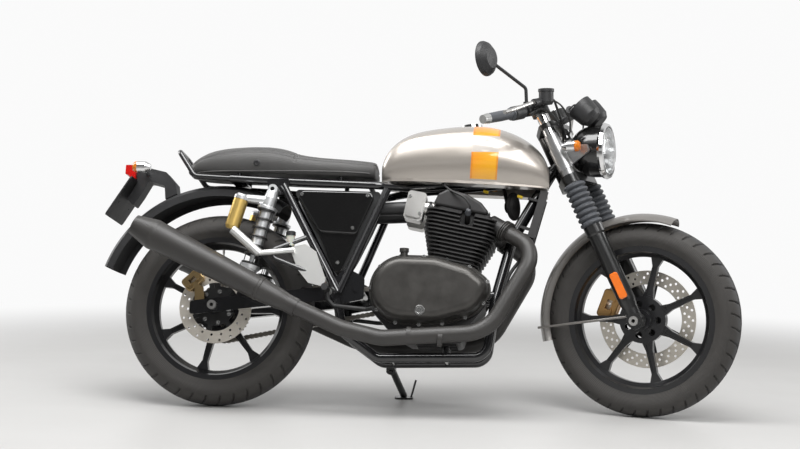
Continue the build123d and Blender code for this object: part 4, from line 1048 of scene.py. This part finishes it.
def headlamp():
    """Hollow lamp: bowl with a mirrored inside, bulb and a thin domed lens."""
    place = turned_frame(fork, lamp_spot, beam)
    outside = [(12, -118)]
    for k in range(1, 9):
        angle = pi / 2 * k / 8
        outside.append((12 + 73 * sin(angle), -40 - 78 * cos(angle)))
    bowl = [(81 * sqrt(k / 8), -74 + 65 * k / 8) for k in range(8, 0, -1)]
    profile = [(0, -118)] + outside + [(86, -8)] + bowl + [(0, -74)]
    mesh = lathe("headlamp_bowl", profile, place, 96)
    mirrored_from = len(outside) + 1
    for face in mesh.polygons:
        face.material_index = 1 if face.material_index >= mirrored_from else 0
    piece = new_piece("headlamp_bowl", mesh, "steering", None, ("headlamp_shell",))
    piece.data.materials.append(finishes["lamp_black"])
    piece.data.materials.append(finishes["reflector"])
    arc = (0.2, 0.45, 0.75, 1.05, 1.35)
    dome = [(80.6, -7.6), (80.6, 8)] + [(80.6 * cos(a), 8 + 13 * sin(a)) for a in arc]
    inner = [(77.5 * cos(a), 5.5 + 12.5 * sin(a)) for a in arc]
    profile = [(0, 21)] + dome[::-1] + [(77.5, -7.6)] + inner + [(0, 18)]
    turned_piece("headlamp_glass", profile, place, 96, "steering", "lamp_glass",
                 replaced=("headlamp_lens",))
    bulb = [(0, -30), (5, -31), (7, -36), (7, -52), (12, -54), (12, -60), (0, -60)]
    turned_piece("headlamp_bulb", bulb, place, 24, "steering", "lamp_glass", "bulb")


def dials():
    """Faces, needles and bright rims of the two clocks."""
    tilt = radians(45.0) - rake
    face = [(0, -2.6), (36.4, -2.6), (36.4, -3), (0, -3)]
    rim = [(36.6, -2.8), (36.6, 3), (38.5, 4.6), (41, 4.6), (42.6, 3.2), (42.6, 1)]
    boss = [(0, 0.2), (4.5, -0.2), (5, -2.6), (0, -2.6)]
    needle_height = -1.6
    for word, side, sweep in (("left", 1, 205.0), ("right", -1, 238.0)):
        place = turned_frame(fork, (157, side * 47, 716), (-sin(tilt), 0, cos(tilt)))
        finishes[word + "_dial"] = dial_face(word + "_dial_face", place)
        turned_piece(word + "_dial", face, place, 64, "steering", "black_plastic", word + "_dial")
        turned_piece(word + "_bezel", rim, place, 72, "steering", "chrome_plate", loop=True)
        angle = radians(sweep)
        tip = (27 * cos(angle), 27 * sin(angle))
        tail = (-7 * cos(angle), -7 * sin(angle))
        needle = [at(place, *tail, needle_height), at(place, *tip, needle_height)]
        pipe_piece(word + "_needle", needle, 0.0009, "steering", "amber_lens", "needle")
        turned_piece(word + "_needle_hub", boss, place, 24, "steering", "black_plastic")


def cables():
    """Cables and wires from the steering to the frame; plug leads and an oil line on the engine."""
    rows = (
        ("clutch_cable", 0.0028, [(84, 126, 768), (118, 96, 762), (126, 60, 700), (92, 52, 640)],
         [(395, 60, 800), (330, 66, 768), (240, 66, 752)]),
        ("throttle_cable", 0.0028, [(44, -176, 748), (96, -150, 760), (120, -100, 700), (84, -62, 640)],
         [(392, -64, 796), (326, -68, 766), (236, -66, 750)]),
        ("bar_wires", 0.0042, [(30, -196, 736), (66, -158, 742), (84, -112, 690), (70, -58, 655)],
         [(398, -50, 806), (340, -52, 778), (250, -56, 757)]),
    )
    for name, radius, held, free in rows:
        points = [at(fork, *spot) for spot in held] + [at(bike, *spot) for spot in free]
        cable = add_object(name, pipe(name, points, radius))
        cable.data.materials.append(finishes["hose_black"])
        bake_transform(cable)
    cap = [(0, -2), (10, -2), (10, 6), (8, 9), (8, 18), (5.5, 21), (0, 21)]
    for word, side in both_sides:
        top = at(cylinder, 4, side * 137, 175)
        rise = toward(cylinder, 0, side * 0.5, 0.6) * 0.03
        lead = [top, top + rise, at(bike, 60, side * 118, 716), at(bike, 30, side * 84, 748)]
        pipe_piece(word + "_plug_lead", lead, 0.0036, "chassis", "hose_black")
        place = turned_frame(cylinder, (4, side * 135, 174), (0, side * 0.89, 0.45))
        turned_piece(word + "_plug_cap", cap, place, 32, "chassis", "hose_black", "boot_rubber")
    spots = ((334, -70, 570), (316, -78, 520), (262, -92, 440), (224, -98, 330), (150, -90, 262))
    line = [at(bike, *spot) for spot in spots]
    pipe_piece("oil_line", line, 0.006, "chassis", "hose_black")


def rounded_plate(name, place, wide, tall, thick, corner, edge):
    """Plate with round corners and a bevelled front edge, lying on a frame's XY plane."""
    def ring(inset, height):
        points = []
        for turn, (x, y) in enumerate(((1, 1), (-1, 1), (-1, -1), (1, -1))):
            for k in range(7):
                angle = pi / 2 * (turn + k / 6)
                points.append(at(
                    place, x * (wide / 2 - corner) + (corner - inset) * cos(angle),
                    y * (tall / 2 - corner) + (corner - inset) * sin(angle), height))
        return points

    rings = [ring(0, 0), ring(0, thick - edge), ring(edge, thick)]
    count = len(rings[0])
    faces = [tuple(range(count)), tuple(range(2 * count, 3 * count))]
    for level in (0, count):
        for k in range(count):
            after = (k + 1) % count
            faces.append((level + k, level + after, level + count + after, level + count + k))
    spots = [spot for row in rings for spot in row]
    return closed_mesh(name, spots, faces)


def small_fittings():
    """Reflectors, level window, cable tags, brake bottle and valve stems."""
    for word, side in both_sides:
        spot = at(fork, 43, side * 124, 122)
        place = axes(toward(fork, 0, 0, 1), toward(fork, side, 0, 0), toward(fork, 0, side, 0), spot)
        plate = rounded_plate(word + "_reflector", place, 88, 27, 7, 8, 2)
        new_piece(word + "_reflector", plate, "steering", "reflex")
    place = turned_frame(bike, (-20, -196, 306), (0, -1, 0))
    window = [(0, 0.4), (9.5, 0.4), (10.5, 2.4), (14.5, 2.4), (16.5, 0.2), (16.5, -6), (0, -6)]
    turned_piece("level_window", window, place, 48, "chassis", "bare_aluminium", "bolt_zinc")
    tag = [(0, -9), (5, -9), (5, 9), (0, 9)]
    for name, x, z in (("front_tag", 292, 705), ("rear_tag", 180, 720)):
        place = turned_frame(bike, (x, -62, z), (0.94, 0, -0.34))
        turned_piece(name, tag, place, 20, "chassis", "amber_lens", "tag_yellow")
    place = turned_frame(bike, (-450, -142, 534), (0, 0, 1))
    jar = [(0, -20), (13, -20), (14, -16), (14, 14), (0, 14)]
    turned_piece("brake_bottle", jar, place, 40, "chassis", "black_plastic", "bottle")
    lid = [(0, 14), (16, 14), (16, 26), (13, 28), (0, 28)]
    turned_piece("brake_bottle_lid", lid, place, 40, "chassis", "black_plastic")
    hose = [at(bike, -450, -142, 515), at(bike, -446, -142, 494), at(bike, -420, -138, 470)]
    pipe_piece("bottle_hose", hose, 0.0045, "chassis", "hose_black")
    stem = [(0, -20), (4, -20), (4, 4), (3, 6), (3, 12), (0, 12)]
    for word, hub in (("front", front_hub), ("rear", rear_hub)):
        place = turned_frame(hub, (0, 8, 196), (0, 0.2, -0.98))
        turned_piece(word + "_valve", stem, place, 16, word + "_wheel", "bare_aluminium")


# Seat sizes in millimetres of the upright bike
seat_edge = (
    (-190, 800), (-270, 806), (-360, 810), (-450, 820), (-522, 836),
    (-600, 840), (-690, 834), (-776, 815), (-815, 795),
)
cross_seam = -452
stitch_pitch = 6
outside_reach = 220
welt_height = 771
button_spot = (-579, 796)


def along_table(table, x):
    """Value of a table of (x, value) rows that run to lower x."""
    for (x0, v0), (x1, v1) in zip(table, table[1:]):
        if x1 <= x <= x0:
            return v0 + (v1 - v0) * (x - x0) / (x1 - x0)
    return table[0][1] if x > table[0][0] else table[-1][1]


def seat_pad():
    """The one-piece seat: foam under vinyl with sunk seams."""
    pad = add_object("seat_pad", merged_copy("seat"))
    remesh = pad.modifiers.new("foam", "REMESH")
    remesh.mode = "VOXEL"
    remesh.voxel_size = 0.0055
    ease = pad.modifiers.new("cover", "SMOOTH")
    ease.factor = 0.5
    ease.iterations = 8
    fine = pad.modifiers.new("skin", "SUBSURF")
    fine.levels = 1
    settle(pad)
    inside = bike.inverted()
    far = 99.0
    ways = [vertex.normal.copy() for vertex in pad.data.vertices]
    for vertex, way in zip(pad.data.vertices, ways):
        spot = inside @ vertex.co * 1000.0
        side_gap = abs(spot.z - along_table(seat_edge, spot.x)) if abs(spot.y) > 24 else far
        cross_gap = abs(spot.x - cross_seam) if spot.z > 800 else far
        sink = 2.6 * exp(-(side_gap / 3.6) ** 2) + 3.0 * exp(-(cross_gap / 4.5) ** 2)
        pucker = noise.noise(vertex.co * 38.0) * 0.7 + noise.noise(vertex.co * 11.0) * 0.8
        vertex.co -= way * 0.001 * (sink + 0.5 + pucker * 0.5)
    for face in pad.data.polygons:
        face.use_smooth = True
    pad.data.materials.clear()
    pad.data.materials.append(finishes["seat_leather"])
    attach(pad, "chassis")
    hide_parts("seat")
    shape = bmesh.new()
    shape.from_mesh(pad.data)
    skin = BVHTree.FromBMesh(shape)
    shape.free()
    return skin


def seat_trim(skin):
    """Stitches beside the seams, and a welt and a button on each side."""
    def cover_at(x, y, z, way):
        """Place and facing of the cover where a ray meets it."""
        return skin.ray_cast(at(bike, x, y, z), toward(bike, *way))[:2]

    stitches = []

    def stitch(found, run):
        hit, normal = found
        if hit:
            stitches.append((hit + normal * 0.0003, normal, toward(bike, *run)))

    for side in (-1, 1):
        for k in range(101):
            x = -200 - stitch_pitch * k
            for lift in (-5.0, 5.0):
                z = along_table(seat_edge, x) + lift
                stitch(cover_at(x, side * outside_reach, z, (0, -side, 0)), (1, 0, 0))
    for k in range(31):
        for lift in (-6.0, 6.0):
            stitch(cover_at(cross_seam + lift, -90 + stitch_pitch * k, 1000, (0, 0, -1)), (0, 1, 0))
    group = stitch_group("seat_stitch", "thread")
    sizes = {"Thread radius": 0.0006, "Thread length": 0.0042}
    grow("seat_stitches", stitches, group, sizes, "chassis")
    button = [(0, -2), (11, -2), (11, 1.5), (9, 3), (6, 3.2), (5, 2.4), (0, 2.4)]
    for word, side in both_sides:
        welt = []
        for k in range(40):
            hit, normal = cover_at(-206 - 15.4 * k, side * outside_reach, welt_height, (0, -side, 0))
            if hit:
                welt.append(hit + normal * 0.0006)
        pipe_piece(word + "_seat_welt", welt, 0.0028, "chassis", "seat_leather")
        hit, normal = cover_at(button_spot[0], side * outside_reach, button_spot[1], (0, -side, 0))
        z = normal.normalized()
        x = z.cross(toward(bike, 0, 0, 1)).normalized()
        place = axes(x, z.cross(x), z, hit)
        turned_piece(word + "_seat_button", button, place, 32, "chassis", "seat_leather", "black_plastic")


seat_trim(seat_pad())
treaded_tyre("front_tyre", front_hub, "front_wheel", 44, 0.052)
treaded_tyre("rear_tyre", rear_hub, "rear_wheel", 40, 0.066)
engine_bolts()
disc_bolts()
chain_pins()
headlamp()
dials()
cables()
small_fittings()

scene.view_settings.view_transform = "Standard"
